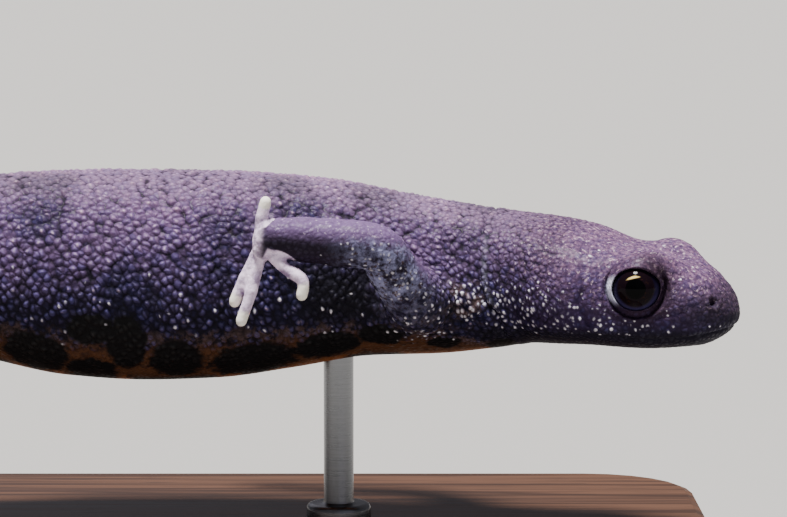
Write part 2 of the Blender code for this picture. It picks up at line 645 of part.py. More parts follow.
def make_legs():
    pieces = []
    for side, word in ((RIGHT, "right"), (LEFT, "left")):
        cutter = body_cutter("fore")
        names = (f"upper_arm_{word}", f"forearm_{word}")
        made, wrist, ahead = make_leg(
            names, FORELEG_S, FORELEG_TURN, FORELEG_STEPS[side], FORELEG_RADII, side, cutter
        )
        bpy.data.objects.remove(cutter)
        pieces += made
        if side == RIGHT:
            pieces.append(make_right_hand(wrist, ahead))
        else:
            pieces.append(
                make_trailing_paw(
                    "hand_left", wrist, ahead, side, LEFT_HAND_HEADING, PALM_SIZE,
                    HAND_SPREAD_DEG, HAND_LENGTHS, FORELEG_RADII[-1][1], LEFT_HAND_DROOP_DEG,
                )
            )
        cutter = body_cutter("hind")
        names = (f"thigh_{word}", f"shin_{word}")
        made, ankle, ahead = make_leg(
            names, HINDLEG_S, HINDLEG_TURN, HINDLEG_STEPS[side], HINDLEG_RADII, side, cutter
        )
        bpy.data.objects.remove(cutter)
        pieces += made
        pieces.append(
            make_trailing_paw(
                f"foot_{word}", ankle, ahead, side, FOOT_HEADING, SOLE_SIZE,
                FOOT_SPREAD_DEG, FOOT_LENGTHS, HINDLEG_RADII[-1][1], FOOT_DROOP_DEG,
            )
        )
    return pieces


def rounded_outline(length, width, corner, steps=CORNER_STEPS):
    """The plan of a rectangle with round corners, as points in order."""
    points = []
    for k, (x, y) in enumerate(((1, 1), (-1, 1), (-1, -1), (1, -1))):
        for j in range(steps + 1):
            turn = math.pi / 2 * (k + j / steps)
            points.append(
                (
                    x * (length / 2 - corner) + corner * math.cos(turn),
                    y * (width / 2 - corner) + corner * math.sin(turn),
                )
            )
    return points


def make_stand():
    """A flat base with softened upper edges, and two turned rods whose tops follow the belly."""
    vertices = []
    middle = BASE_BEVEL * (1 - math.sqrt(0.5))
    levels = (
        (0.0, 0.0), (0.0, BASE_THICKNESS - BASE_BEVEL), (middle, BASE_THICKNESS - middle),
        (BASE_BEVEL, BASE_THICKNESS),
    )
    for inset, height in levels:
        outline = rounded_outline(BASE_LENGTH - 2 * inset, BASE_WIDTH - 2 * inset, BASE_CORNER - inset)
        vertices += [(x, y, height) for x, y in outline]
    pieces = [add_object("stand_base", vertices, ring_faces(len(levels), len(outline)))]
    belly = body_cutter("rods")
    for name, s in ROD_STATIONS.items():
        point, _, _, _ = spine_frame(s)
        foot = BASE_THICKNESS + GAP
        profile = [
            (0, foot), (COLLAR_RADIUS, foot), (COLLAR_RADIUS, foot + COLLAR_HEIGHT - COLLAR_BEVEL),
            (COLLAR_RADIUS - COLLAR_BEVEL, foot + COLLAR_HEIGHT), (ROD_RADIUS, foot + COLLAR_HEIGHT),
            (ROD_RADIUS, point[2]), (0, point[2]),
        ]
        rod = lathe(name, profile, ROD_SIDES, Matrix.Translation((point[0], point[1], 0)))
        boolean(rod, belly, "DIFFERENCE", keep_other=True)
        pieces.append(keep_largest(rod))
    bpy.data.objects.remove(belly)
    return pieces


def make_newt():
    skin = make_material("skin", (0.085, 0.062, 0.075), 0.55)
    eye = make_material("eye", (0.03, 0.02, 0.012), 0.08)
    wood = make_material("walnut", (0.12, 0.062, 0.035), 0.45)
    steel = make_material("steel", (0.6, 0.6, 0.62), 0.3, 1.0)
    flesh = make_head() + make_body() + make_legs()
    flesh.append(make_fin("tail_fin_upper", UPPER_FIN, BACK_LINE, 1))
    flesh.append(make_fin("tail_fin_lower", LOWER_FIN, BELLY_LINE, -1))
    for piece in flesh:
        paint(piece, skin)
    for name, side in (("eye_right", RIGHT), ("eye_left", LEFT)):
        paint(make_eye(name, side), eye)
    base, *rods = make_stand()
    paint(base, wood)
    for rod in rods:
        paint(rod, steel)


clear_scene()
make_newt()
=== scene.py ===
"""Looks of the crested newt model: granular wet skin, eyes, walnut base and steel rods, in a soft-lit studio.

Shapes are worked out in millimetres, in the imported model's frame: +X is forward, +Y is the newt's left
and +Z is up. Along the body, s is the distance from the snout tip, measured backwards along the spine.
"""

import math
from functools import partial

import bmesh
import bpy
import numpy as np
from bpy.props import FloatProperty, FloatVectorProperty, IntProperty, PointerProperty
from mathutils import Matrix, Vector


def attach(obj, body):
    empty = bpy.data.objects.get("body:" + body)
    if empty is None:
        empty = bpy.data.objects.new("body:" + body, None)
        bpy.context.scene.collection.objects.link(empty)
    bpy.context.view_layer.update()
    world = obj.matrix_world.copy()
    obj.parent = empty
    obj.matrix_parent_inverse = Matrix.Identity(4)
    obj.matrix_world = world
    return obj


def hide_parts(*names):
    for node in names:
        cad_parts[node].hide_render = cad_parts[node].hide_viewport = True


bl_info = {
    "name": "Crested Newt Model",
    "version": (1, 0, 0),
    "blender": (4, 5, 0),
    "location": "3D View > Sidebar > Newt",
    "description": "Builds the skin, eyes, stand and studio of a life-size crested newt model",
    "category": "Add Mesh",
}

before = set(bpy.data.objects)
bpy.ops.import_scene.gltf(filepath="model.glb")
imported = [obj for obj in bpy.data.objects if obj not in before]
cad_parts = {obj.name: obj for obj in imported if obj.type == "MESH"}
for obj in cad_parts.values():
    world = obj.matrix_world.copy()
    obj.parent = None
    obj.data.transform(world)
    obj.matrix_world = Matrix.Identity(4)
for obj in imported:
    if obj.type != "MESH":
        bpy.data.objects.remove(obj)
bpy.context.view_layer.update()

MM = 0.001
RIGHT, LEFT = -1, 1
SIDES = {"right": RIGHT, "left": LEFT}
UP = Vector((0, 0, 1))
FLESH = [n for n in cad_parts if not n.startswith(("stand_", "eye_"))]

# Lengths along the body
LENGTH = 148.0
STANDING_S = 50.4
SPINE_STEP = 0.25

# The spine: its height above the floor, and the way it points, seen from above and from behind
AXIS_HEIGHT = (
    (0, 25.3), (10, 25.15), (20, 24.95), (46, 25.0), (64, 25.1), (90, 25.3), (120, 24.9), (148, 25.4),
)
YAW_DEG = (
    (0, -24.5), (11, -24.5), (17, -18), (24, -10), (36, -2), (50, 0), (66, 2), (80, 6), (98, 13), (118, 1),
    (136, -14), (148, -20),
)
LEAN_DEG = ((0, 4), (14, 4), (32, 0), (148, 0))

# The sections: half the width, and the back and belly lines above and below the spine
HALF_WIDTH = (
    (0, 3.2), (1.2, 3.4), (3, 4.0), (6, 4.9), (10, 5.8), (14, 6.2), (17.5, 6.0), (21, 5.8), (24, 5.95),
    (29, 6.6), (36, 7.7), (46, 8.5), (54, 8.3), (61, 7.2), (67, 5.9), (73, 4.7), (78, 3.9), (84, 3.1),
    (95, 2.3), (110, 1.65), (125, 1.15), (138, 0.75), (148, 0.35),
)
BACK_LINE = (
    (0, -0.4), (1.1, 0.3), (2.2, 1.05), (3.5, 1.7), (5, 2.1), (7, 2.6), (9, 3.15), (12, 4.3), (15.4, 4.95),
    (21, 5.6), (27, 6.5), (33, 7.6), (41, 8.2), (50, 8.3), (58, 8.0), (66, 6.8), (74, 5.2), (80, 4.2),
    (95, 3.1), (110, 2.4), (125, 1.7), (138, 1.0), (148, 0.4),
)
BELLY_LINE = (
    (0, -4.0), (1.3, -4.35), (3, -4.7), (7, -5.0), (12, -4.85), (16, -4.85), (19.5, -5.4), (24, -6.0),
    (30, -6.3), (36, -7.3), (42, -8.15), (48, -8.35), (54, -8.0), (60, -6.8), (66, -5.3), (72, -4.6),
    (80, -3.7), (95, -2.6), (110, -2.0), (125, -1.4), (138, -0.85), (148, -0.35),
)
SQUARENESS = ((0, 2.3), (6, 2.5), (14, 2.35), (24, 2.15), (80, 2.1), (148, 2.0))
SNOUT_TIP_HEIGHT = -2.2
SNOUT_ROUNDING = 2.6
SNOUT_HALF_WIDTH = 3.0
WIDEST_LEVEL = 0.46
# The share of the length where the body's rings crowd together
SNOUT_SHARE = 0.05

# Swellings of the skin over what lies under it: s, sideways, height, reach along, reach round, rise
SWELLINGS = {
    "brow": (5.6, 3.4, 2.2, 2.0, 1.6, 0.8),
    "crown hollow": (6.2, 0.0, 2.5, 3.0, 1.5, -0.25),
    "cheek": (13.2, 6.3, -1.2, 2.8, 2.6, 0.35),
    "snout side": (3.2, 3.9, -1.2, 1.5, 1.3, 0.15),
    "jaw corner notch": (16.6, 6.4, -2.6, 1.1, 2.4, -0.35),
    "shoulder": (26.0, 6.0, -2.4, 3.4, 2.6, 0.75),
    "breast fold": (21.9, 5.6, -1.9, 1.4, 1.9, 0.35),
    "hip": (69.5, 5.2, -1.0, 3.6, 2.4, 0.5),
    "vent": (76.2, 0.0, -4.2, 3.0, 2.4, 1.1),
}

# Mouth, eyes and nostrils, in the head's own frame: s, sideways, height
MOUTH_LINE = ((-2.0, -3.2), (0.8, -3.3), (3.0, -3.65), (6.0, -3.75), (9.0, -3.4), (11.2, -3.1))
MOUTH_END = MOUTH_LINE[-1][0]
LIP_RISE, LIP_REACH, LIP_ABOVE = 0.2, 0.42, 0.5
LIP_START, LIP_END, LIP_FADE = 2.0, 12.5, 3.0
EYE_S, EYE_SIDE, EYE_HEIGHT = 6.8, 3.7, 0.2
EYE_RADIUS = 2.05
LID_MOUND_RADIUS = 2.5
GAZE = (-0.3, 0.945, 0.12)
LIDS_REACH, POCKET_DEPTH = 4.2, 0.3
NOSTRIL_S, NOSTRIL_SIDE, NOSTRIL_HEIGHT = 1.25, 2.3, -1.05

# Fine ridges and grooves carved into the head: how far each rises, and its half width
RIDGES = {
    "mouth": (-0.15, 0.1),
    "lips": (0.04, 0.24),
    "mouth corner": (-0.2, 0.24),
    "snout crease": (-0.12, 0.16),
    "throat bulge": (0.42, 1.1),
    "nostril rim": (0.07, 0.2),
}

# Legs: where each leaves the body, how it is rooted and drawn, then its joints as steps (back, out, up)
FORELEG_S, FORELEG_TURN = 25.0, -5.0
HINDLEG_S, HINDLEG_TURN = 69.6, -14.0
ROOT_DEPTH = 3.0
ROOT_BEND_SHARE, ROOT_BEND_DEPTH = 0.55, 0.35
SHANK_ARCH = 0.1
LEG_STEP, LEG_REACH = 0.4, 22.0
TUBE_END_DEG = (25, 48, 68, 82)
FORELEG_STEPS = {
    RIGHT: ((3.3, 3.6, 4.5), (7.6, 0.0, 0.85)),
    LEFT: ((4.4, 4.6, 1.4), (7.0, 1.6, -0.8)),
}
HINDLEG_STEPS = {
    RIGHT: ((5.4, 5.6, -0.6), (7.2, -1.2, -0.9)),
    LEFT: ((4.6, 6.0, 0.4), (7.4, 0.2, -1.4)),
}
FORELEG_RADII = ((0, 2.6), (0.17, 2.4), (0.36, 2.05), (0.57, 1.8), (0.76, 1.8), (1, 1.55))
HINDLEG_RADII = ((0, 2.7), (0.2, 2.3), (0.48, 1.8), (0.7, 1.8), (1, 1.35))

# Hands and feet: the palm's half sizes, and each digit as steps (back, out, up) from the palm's centre
PALM_SIZE = (1.75, 1.45, 0.78)
SOLE_SIZE = (2.1, 1.75, 0.8)
RIGHT_PALM_STEP, PALM_TILT = (1.15, 0.0, -0.3), 0.1
DIGIT_RADIUS, DIGIT_TIP_RADIUS, DIGIT_STEP = 0.52, 0.43, 0.25
KNUCKLE_AT, KNUCKLE_REACH, KNUCKLE_SWELL = 0.62, 0.07, 0.05
RIGHT_HAND_DIGITS = (
    ((0.1, 0.2, 1.5), (-0.4, 0.4, 3.55)),
    ((-1.75, 0.9, -1.95), (-3.15, 1.3, -2.9), (-2.95, 1.4, -4.5)),
    ((0.85, 0.5, -3.9), (1.7, 0.6, -6.5)),
    ((1.45, -0.2, -3.2), (2.35, -0.3, -5.1)),
)
LEFT_HAND_HEADING, LEFT_HAND_DROOP_DEG = (1.0, 0.3, -0.3), 55
FOOT_HEADING, FOOT_DROOP_DEG = (1.0, 0.25, -0.12), 25
PAW_START, PALM_ALONG, DIGIT_ROOT = 0.5, 0.85, 0.6
KNUCKLE_SHARE, KNUCKLE_RISE, TIP_DROP = 0.55, 0.12, 0.1
WRIST_NARROWING, WRIST_END_RADIUS, WRIST_ROUNDNESS = 0.92, 0.7, 0.3
HAND_SPREAD_DEG = (-52, -14, 16, 50)
HAND_LENGTHS = (3.3, 5.0, 5.3, 3.7)
FOOT_SPREAD_DEG = (-56, -27, -3, 20, 48)
FOOT_LENGTHS = (3.4, 5.2, 6.3, 6.0, 3.9)

# The stand: the base's thickness, and the two turned rods, which run a little way into the belly
ROD_STATIONS = {"stand_rod_front": 32.5, "stand_rod_rear": 64.0}
BASE_THICKNESS, FOOT_GAP = 5.0, 0.3
ROD_RADIUS, COLLAR_RADIUS, COLLAR_HEIGHT, COLLAR_ROUNDING = 1.2, 2.6, 1.3, 0.5
COLLAR_CHAMFER, SHARP_DEG = 0.15, 40
# How far the rod swells out over its collar, as (out, up) from the collar's top
ROD_FILLET = ((0.2, 0.0), (0.05, 0.06), (0.0, 0.25))
ROD_DEPTH = 0.9

# The tail's skin fins: how far each stands out, and how thick it is
UPPER_FIN = (
    (76, 0.3), (83, 1.2), (94, 2.3), (108, 2.9), (122, 2.8), (135, 2.1), (144, 1.2), (148, 0.5),
)
LOWER_FIN = ((82, 0.3), (89, 1.3), (100, 2.0), (115, 2.3), (130, 1.9), (142, 1.1), (148, 0.45))
FIN_ROOT_THICKNESS, FIN_EDGE_THICKNESS = 1.1, 0.45
FIN_ROOT_SHARE, FIN_ROUND_FROM = 0.35, 0.94

# How the fused mesh is evened, and which hollows of its seams are filled
RELAX_SAG, RELAX_PUSH = 0.5, 0.53
CREASE_LEAST, CREASE_MOST = 0.004, 0.1

# Marks on the skin that the photo shows: where each black blotch of the flank lies, and its half sizes
BLOTCHES = (
    (18.6, -0.9, 1.4, 0.14), (23.3, -0.73, 1.5, 0.11), (28.4, -0.61, 2.1, 0.15), (32.9, -0.71, 2.8, 0.18),
    (38.8, -0.76, 3.7, 0.22), (45.0, -0.7, 2.2, 0.24), (48.9, -0.5, 1.7, 0.3), (51.8, -0.85, 2.1, 0.17),
    (51.7, -0.36, 2.1, 0.17), (56.2, -0.7, 2.7, 0.26), (60.7, -0.5, 1.9, 0.26), (63.8, -0.82, 2.2, 0.19),
    (68.2, -0.62, 2.3, 0.24),
)
LEFT_SHIFT = 2.7
# The ribs: where the first lies, how far apart they are, how far they rise, and where they fade in and out
RIB_START, RIB_SPACING, RIB_RISE = 32.0, 2.65, 0.05
RIBBED = (30, 33, 62, 65)
# The level where the belly's colour starts, along the body
BELLY_EDGE = (
    (0, -1.3), (14, -1.3), (19, -0.8), (24, -0.5), (40, -0.42), (66, -0.42), (80, -0.7), (90, -0.95),
)
# The fold of the throat, as (level, s), and fainter folds behind it, as (s, depth)
THROAT_FOLD = ((-0.8, 17.8), (-0.3, 18.2), (-0.1, 19.1), (0.15, 19.7), (0.6, 19.9), (1.0, 20.1))
NECK_FOLDS = ((21.6, 0.07), (23.4, 0.06))
# How far apart the granules lie, along the body
GRANULE_SPACING = ((0, 0.42), (14, 0.42), (22, 0.47), (32, 0.53), (80, 0.55), (148, 0.45))
ROW_TURN_DEG, ROW_TILT_DEG, ROW_STRETCH = 55, 25, (0.9, 1.0, 1.1)
# How pale the palm is beside the digits, and how far its pale part lies out from its middle
PALM_SHARE, PALM_SHIFT = 0.16, 0.8

# Patterns of the skin and the iris, in waves to the millimetre: clouds 4.5 mm across, grit 0.9, specks 0.4
# and flecks 0.3. The outlines of spots and blotches stray by SPOT_WARP mm.
CLOUDS, GRIT, SPECKS, FLECKS, IRIS_FLECKS = 0.22, 1.1, 2.6, 3.4, 4.0
SPOT_WARP = 2.4
# Patterns of the stand and the floor, in waves to the metre along X, Y and Z. The growth lines lie 1 to 2 mm
# apart. Walnut's pores are 0.2 mm wide and a fine lathe's marks 0.05 mm apart, both too fine to show here, so
# they are drawn 0.5 mm wide and 0.1 mm apart. The card's fibres are drawn 1 mm wide for the same reason.
GROWTH_LINES, PORES = (14.0, 520.0, 520.0), (60.0, 900.0, 900.0)
TURNING_MARKS = (300.0, 300.0, 9000.0)
CARD_FIBRES = 900.0

# The photo's camera: it looks along +Y, a little down, and its frame is this wide at the newt
VIEW_CENTRE = (22.3, 0.0, 26.3)
VIEW_ELEVATION_DEG = 6.0
VIEW_DISTANCE, VIEW_WIDTH = 250.0, 63.0
FILM_WIDTH = 36.0


def linear(code):
    """An sRGB hex colour as linear red, green and blue."""
    parts = [int(code[i : i + 2], 16) / 255 for i in (0, 2, 4)]
    return tuple(c / 12.92 if c <= 0.04045 else ((c + 0.055) / 1.055) ** 2.4 for c in parts)


def flow(knots, at):
    """The value at each place of a smooth curve through (place, value) knots, which never overshoots them."""
    place, value = np.array(knots, float).T
    step = np.diff(place)
    rise = np.diff(value) / step
    slope = np.zeros_like(value)
    slope[0], slope[-1] = rise[0], rise[-1]
    same = rise[:-1] * rise[1:] > 0
    slope[1:-1][same] = 2 * (rise[:-1] * rise[1:])[same] / (rise[:-1] + rise[1:])[same]
    at = np.asarray(at, float)
    i = np.clip(np.searchsorted(place, at) - 1, 0, len(step) - 1)
    t = (at - place[i]) / step[i]
    start = (1 + 2 * t) * (1 - t) ** 2 * value[i] + t * (1 - t) ** 2 * step[i] * slope[i]
    end = t * t * (3 - 2 * t) * value[i + 1] + t * t * (t - 1) * step[i] * slope[i + 1]
    return start + end


def ease(value, low, high):
    """0 below low and 1 above high, or the other way round, with a smooth passage."""
    t = np.clip((value - low) / (high - low), 0, 1)
    return t * t * (3 - 2 * t)


def between(value, start, full, last, end):
    """0 up to start and from end on, 1 from full to last, with smooth passages."""
    return ease(value, start, full) * ease(value, end, last)


def bell(distance, width, power=2):
    """1 at no distance, falling off smoothly with it."""
    return np.exp(-((distance / width) ** power))


def straight(knots, at):
    """The value at each place of straight lines through (place, value) knots."""
    return np.interp(at, *np.array(knots).T)


def trace_spine():
    """Points SPINE_STEP apart along the spine, with its forward direction at each."""
    s = np.linspace(0, LENGTH, round(LENGTH / SPINE_STEP) + 1)
    yaw = np.radians(flow(YAW_DEG, s))
    height = flow(AXIS_HEIGHT, s)
    climb = np.gradient(height, s)
    level = np.sqrt(1 - climb**2)
    back = np.stack([-np.cos(yaw) * level, -np.sin(yaw) * level], 1)
    steps = (back[1:] + back[:-1]) / 2 * np.diff(s)[:, None]
    plan = np.vstack([[0, 0], np.cumsum(steps, 0)])
    plan -= [np.interp(STANDING_S, s, plan[:, k]) for k in range(2)]
    forward = np.column_stack([-back, -climb])
    return s, np.column_stack([plan, height]), forward


SPINE_S, SPINE_POINTS, SPINE_FORWARD = trace_spine()


def spine_frame(s):
    """The spine's point at each s, with the unit vectors forward, left and up there."""
    s = np.asarray(s, float)
    point = np.stack([np.interp(s, SPINE_S, SPINE_POINTS[:, k]) for k in range(3)], -1)
    forward = np.stack([np.interp(s, SPINE_S, SPINE_FORWARD[:, k]) for k in range(3)], -1)
    forward /= np.linalg.norm(forward, axis=-1, keepdims=True)
    left = np.cross([0, 0, 1], forward)
    left /= np.linalg.norm(left, axis=-1, keepdims=True)
    up = np.cross(forward, left)
    lean = np.radians(flow(LEAN_DEG, s))[..., None]
    return point, forward, left * np.cos(lean) + up * np.sin(lean), up * np.cos(lean) - left * np.sin(lean)


def signed_power(x, power):
    return np.sign(x) * np.abs(x) ** power


def section_sizes(s):
    """Half the width, and the heights of the back, the belly and the widest level, at s."""
    blunt = np.sqrt(1 - np.clip(1 - s / SNOUT_ROUNDING, 0, 1) ** 2)
    top = SNOUT_TIP_HEIGHT + (flow(BACK_LINE, s) - SNOUT_TIP_HEIGHT) * blunt
    bottom = SNOUT_TIP_HEIGHT + (flow(BELLY_LINE, s) - SNOUT_TIP_HEIGHT) * blunt
    return flow(HALF_WIDTH, s) * blunt, top, bottom, bottom + (top - bottom) * WIDEST_LEVEL


def section(s, turn):
    """Sideways and upward places round the section at s, and the outward direction there."""
    width, top, bottom, middle = section_sizes(s)
    power = flow(SQUARENESS, s)
    cosine, sine = np.cos(turn), np.sin(turn)
    tall = np.where(sine > 0, top - middle, middle - bottom)
    side = width * signed_power(cosine, 2 / power)
    height = middle + tall * signed_power(sine, 2 / power)
    falling = 2 - 2 / power
    out = np.stack([signed_power(cosine, falling) / width, signed_power(sine, falling) / tall], -1)
    return side, height, out / np.linalg.norm(out, axis=-1, keepdims=True)


def rise_of_skin(s, side, height):
    """How far the swellings and the upper lip push the skin out."""
    rise = np.zeros_like(side)
    for at, across, up, along_reach, round_reach, most in SWELLINGS.values():
        near = np.hypot(np.abs(side) - across, height - up)
        rise += most * bell(s - at, along_reach) * bell(near, round_reach)
    along_lip = np.clip((LIP_END - s) / LIP_FADE, 0, 1) * np.clip(s / LIP_START, 0, 1)
    return rise + LIP_RISE * along_lip * bell(height - straight(MOUTH_LINE, s) - LIP_ABOVE, LIP_REACH)


def body_surface(s, turn):
    """Points of the skin at s and turn."""
    s, turn = np.broadcast_arrays(np.asarray(s, float), np.asarray(turn, float))
    side, height, out = section(s, turn)
    push = rise_of_skin(s, side, height)
    point, _, left, up = spine_frame(s)
    side, height = side + out[..., 0] * push, height + out[..., 1] * push
    return point + left * side[..., None] + up * height[..., None]


def spine_places(points):
    """For each point, s along the spine, and how far left of it and above it the point lies."""
    s = np.interp(points[:, 0], SPINE_POINTS[::-1, 0], SPINE_S[::-1])
    for _ in range(4):
        centre, forward, _, _ = spine_frame(s)
        s = np.clip(s - ((points - centre) * forward).sum(1), 0, LENGTH)
    centre, _, left, up = spine_frame(s)
    return s, ((points - centre) * left).sum(1), ((points - centre) * up).sum(1)


def level_of(s, height):
    """How high a place lies on its section: 1 on the back, 0 at the widest level, -1 on the belly."""
    _, top, bottom, middle = section_sizes(s)
    up = height - middle
    return np.where(up > 0, up / (top - middle), up / (middle - bottom))


def rib_wave(s):
    """1 on the skin over each rib, -1 in the groove to the next."""
    return np.cos((s - RIB_START) * 2 * math.pi / RIB_SPACING)


def granule_places(s, side, height):
    """Places counted in granules along the body and across it, turned so that their rows run aslant."""
    stations = np.linspace(0, LENGTH, 297)
    spacing = flow(GRANULE_SPACING, stations)
    along = np.interp(s, stations, np.cumsum(np.gradient(stations) / spacing))
    spacing = np.interp(s, stations, spacing)
    rows = Matrix.Diagonal(ROW_STRETCH).to_3x3() @ Matrix.Rotation(math.radians(ROW_TILT_DEG), 3, "X")
    rows = np.array(rows @ Matrix.Rotation(math.radians(ROW_TURN_DEG), 3, "Y"))
    return np.stack([along, side / spacing, height / spacing], 1) @ rows.T


def head_axes():
    """The head's own origin, and its backward, left and up directions as the rows of a matrix."""
    point, forward, left, up = spine_frame(0.0)
    return point, np.array([-forward, left, up])


def eye_frame(side):
    """The eye's centre in the model, and its forward, upward and outward directions as rows."""
    origin, axes = head_axes()
    centre = origin + np.array([EYE_S, side * EYE_SIDE, EYE_HEIGHT]) @ axes
    out = np.array([GAZE[0], side * GAZE[1], GAZE[2]]) @ axes
    out /= np.linalg.norm(out)
    upward = axes[2] - out * (axes[2] @ out)
    upward /= np.linalg.norm(upward)
    ahead = np.cross(out, upward) * side
    return centre, np.array([ahead, upward, out])


def eye_places(points, side):
    """How far each point lies ahead of, above and outward from an eye's centre."""
    centre, axes = eye_frame(side)
    return ((points - centre) @ axes.T).T


def ring_shell(rings):
    """A closed shell through rings of equally many points, with a point at the middle of each end."""
    rings = np.asarray(rings, float)
    count, sides = rings.shape[:2]
    points = np.concatenate([rings.reshape(-1, 3), rings[[0, -1]].mean(1)])
    k = np.arange(sides)
    n = (k + 1) % sides
    starts = sides * np.arange(count - 1)
    faces = [np.stack([r + k, r + n, r + sides + n, r + sides + k], 1) for r in starts]
    first, last = count * sides, count * sides + 1
    top = first - sides
    caps = [np.stack([n, k, np.full(sides, first)], 1), np.stack([top + k, top + n, np.full(sides, last)], 1)]
    return points, [row.tolist() for block in faces + caps for row in block]


def body_shell():
    """The head, trunk and tail, without legs and fins. Its rings crowd together at the snout."""
    snout = np.linspace(0.02, 1, 40) ** 2 * SNOUT_SHARE
    s = LENGTH * np.concatenate([snout, np.linspace(SNOUT_SHARE, 1, 330)[1:]])
    turns = np.linspace(0, 2 * math.pi, 120, endpoint=False) + math.pi / 2
    return ring_shell(body_surface(s[:, None], turns[None, :]))


def fin_shell(knots, line, direction):
    """A thin blade along the tail, rounded at its edge and rooted inside the tail."""
    s = np.linspace(knots[0][0], knots[-1][0] - 0.1, 260)
    point, _, left, up = spine_frame(s)
    root, rise = flow(line, s) * FIN_ROOT_SHARE, flow(knots, s)
    edge = flow(line, s) + direction * rise
    halves = []
    for share in np.linspace(0, 1, 15):
        thick = (FIN_ROOT_THICKNESS + (FIN_EDGE_THICKNESS - FIN_ROOT_THICKNESS) * share) * np.minimum(1, rise)
        past = max(0.0, (share - FIN_ROUND_FROM) / (1 - FIN_ROUND_FROM))
        rounding = math.sqrt(max(0.0, 1 - past**2)) * 0.92 + 0.08
        halves.append((root + (edge - root) * share, thick * rounding / 2))
    loop = halves + [(height, -half) for height, half in halves[::-1]]
    sides = [point + left * half[:, None] + up * height[:, None] for height, half in loop]
    return ring_shell(np.stack(sides, 1))


def ball_shell(centre, axes, sides=28, levels=14):
    """An ellipsoid with these three half axes, as vectors."""
    angles = np.linspace(-math.pi / 2, math.pi / 2, levels + 1)[1:-1]
    turns = np.linspace(0, 2 * math.pi, sides, endpoint=False)
    x = np.cos(angles)[:, None] * np.cos(turns)
    y = np.cos(angles)[:, None] * np.sin(turns)
    z = np.repeat(np.sin(angles)[:, None], sides, 1)
    axes = np.array([tuple(a) for a in axes])
    points, faces = ring_shell(np.array(centre) + np.stack([x, y, z], -1) @ axes)
    points[-2:] = np.array(centre) + np.array([-axes[2], axes[2]])
    return points, faces


def smooth_path(knots, step):
    """Points about a step apart on a smooth curve through the knots."""
    knots = [Vector(k) for k in knots]
    ends = [knots[0] * 2 - knots[1]] + knots + [knots[-1] * 2 - knots[-2]]
    path = []
    for a, b, c, d in zip(ends, ends[1:], ends[2:], ends[3:]):
        parts = max(1, round((c - b).length / step))
        for k in range(parts):
            t = k / parts
            bend, twist = 2 * a - 5 * b + 4 * c - d, 3 * b - a - 3 * c + d
            path.append(0.5 * (2 * b + (c - a) * t + bend * t**2 + twist * t**3))
    return path + [knots[-1]]


def tube_shell(path, radii, sides=26, roundness=1.0):
    """A round tube along a path, with a rounded end that is flatter for a lower roundness."""
    path, radii = list(path), list(radii)
    last = len(path) - 1
    ahead = [(path[min(i + 1, last)] - path[max(i - 1, 0)]).normalized() for i in range(last + 1)]
    tip, radius = path[-1], radii[-1]
    for angle in np.radians(TUBE_END_DEG):
        path.append(tip + ahead[last] * radius * roundness * math.sin(angle))
        radii.append(radius * math.cos(angle))
        ahead.append(ahead[last])
    across = ahead[0].orthogonal().normalized()
    rings = []
    for centre, onward, radius in zip(path, ahead, radii):
        across = (across - onward * across.dot(onward)).normalized()
        other = onward.cross(across)
        turns = [2 * math.pi * k / sides for k in range(sides)]
        rings.append([tuple(centre + (across * math.cos(t) + other * math.sin(t)) * radius) for t in turns])
    return ring_shell(rings)


def step_vector(step, side):
    """A step (back, out, up) on one side of the body as a vector."""
    back, out, up = step
    return Vector((-back, side * out, up))


def leg_path(s, turn_deg, steps, side):
    """The middle of a leg, from inside the body to the wrist or ankle."""
    turn = math.radians(turn_deg if side == LEFT else 180 - turn_deg)
    root = Vector(body_surface(s, turn))
    inward = (Vector(spine_frame(s)[0]) - root).normalized()
    joint = root + step_vector(steps[0], side)
    end = joint + step_vector(steps[1], side)
    bend = root.lerp(joint, ROOT_BEND_SHARE) - inward * ROOT_BEND_DEPTH
    shank = joint.lerp(end, 0.5) + UP * SHANK_ARCH
    return smooth_path([root + inward * ROOT_DEPTH, root, bend, joint, shank, end], LEG_STEP)


def spread_digits(centre, ahead, sideways, down, angles, lengths):
    """Digits that fan out from the palm and bend a little downwards at their tips."""
    digits = []
    for angle, length in zip(angles, lengths):
        turn = math.radians(angle)
        out = ahead * math.cos(turn) + sideways * math.sin(turn)
        knuckle = centre + (out * KNUCKLE_SHARE - down * KNUCKLE_RISE) * length
        digits.append([knuckle, centre + (out + down * TIP_DROP) * length])
    return digits


def right_hand(wrist):
    """The hand held square to its forearm, the palm turned backwards: centre, half axes, digits."""
    centre = wrist + step_vector(RIGHT_PALM_STEP, RIGHT)
    along, across, through = Vector((PALM_TILT, 0, 1)), Vector((0, 1, 0)), Vector((1, 0, -PALM_TILT))
    axes = (along * PALM_SIZE[0], across * PALM_SIZE[1], through * PALM_SIZE[2])
    digits = [[centre + step_vector(step, RIGHT) for step in steps] for steps in RIGHT_HAND_DIGITS]
    return centre, axes, digits


def trailing_paw(path, side, heading, droop, size, spread, lengths):
    """A hand or foot that trails behind its leg, sole down and a little out: centre, half axes, digits."""
    ahead = (path[-1] - path[-3]).normalized()
    onward = step_vector(heading, side).normalized()
    down = Matrix.Rotation(math.radians(droop * side), 3, onward) @ -UP
    sideways = onward.cross(down).normalized() * -side
    centre = path[-1] + ahead * PAW_START + onward * size[0] * PALM_ALONG
    axes = (onward * size[0], sideways * size[1], down * size[2])
    full_lengths = [length + size[0] * DIGIT_ROOT for length in lengths]
    return centre, axes, spread_digits(centre, onward, sideways, down, spread, full_lengths)


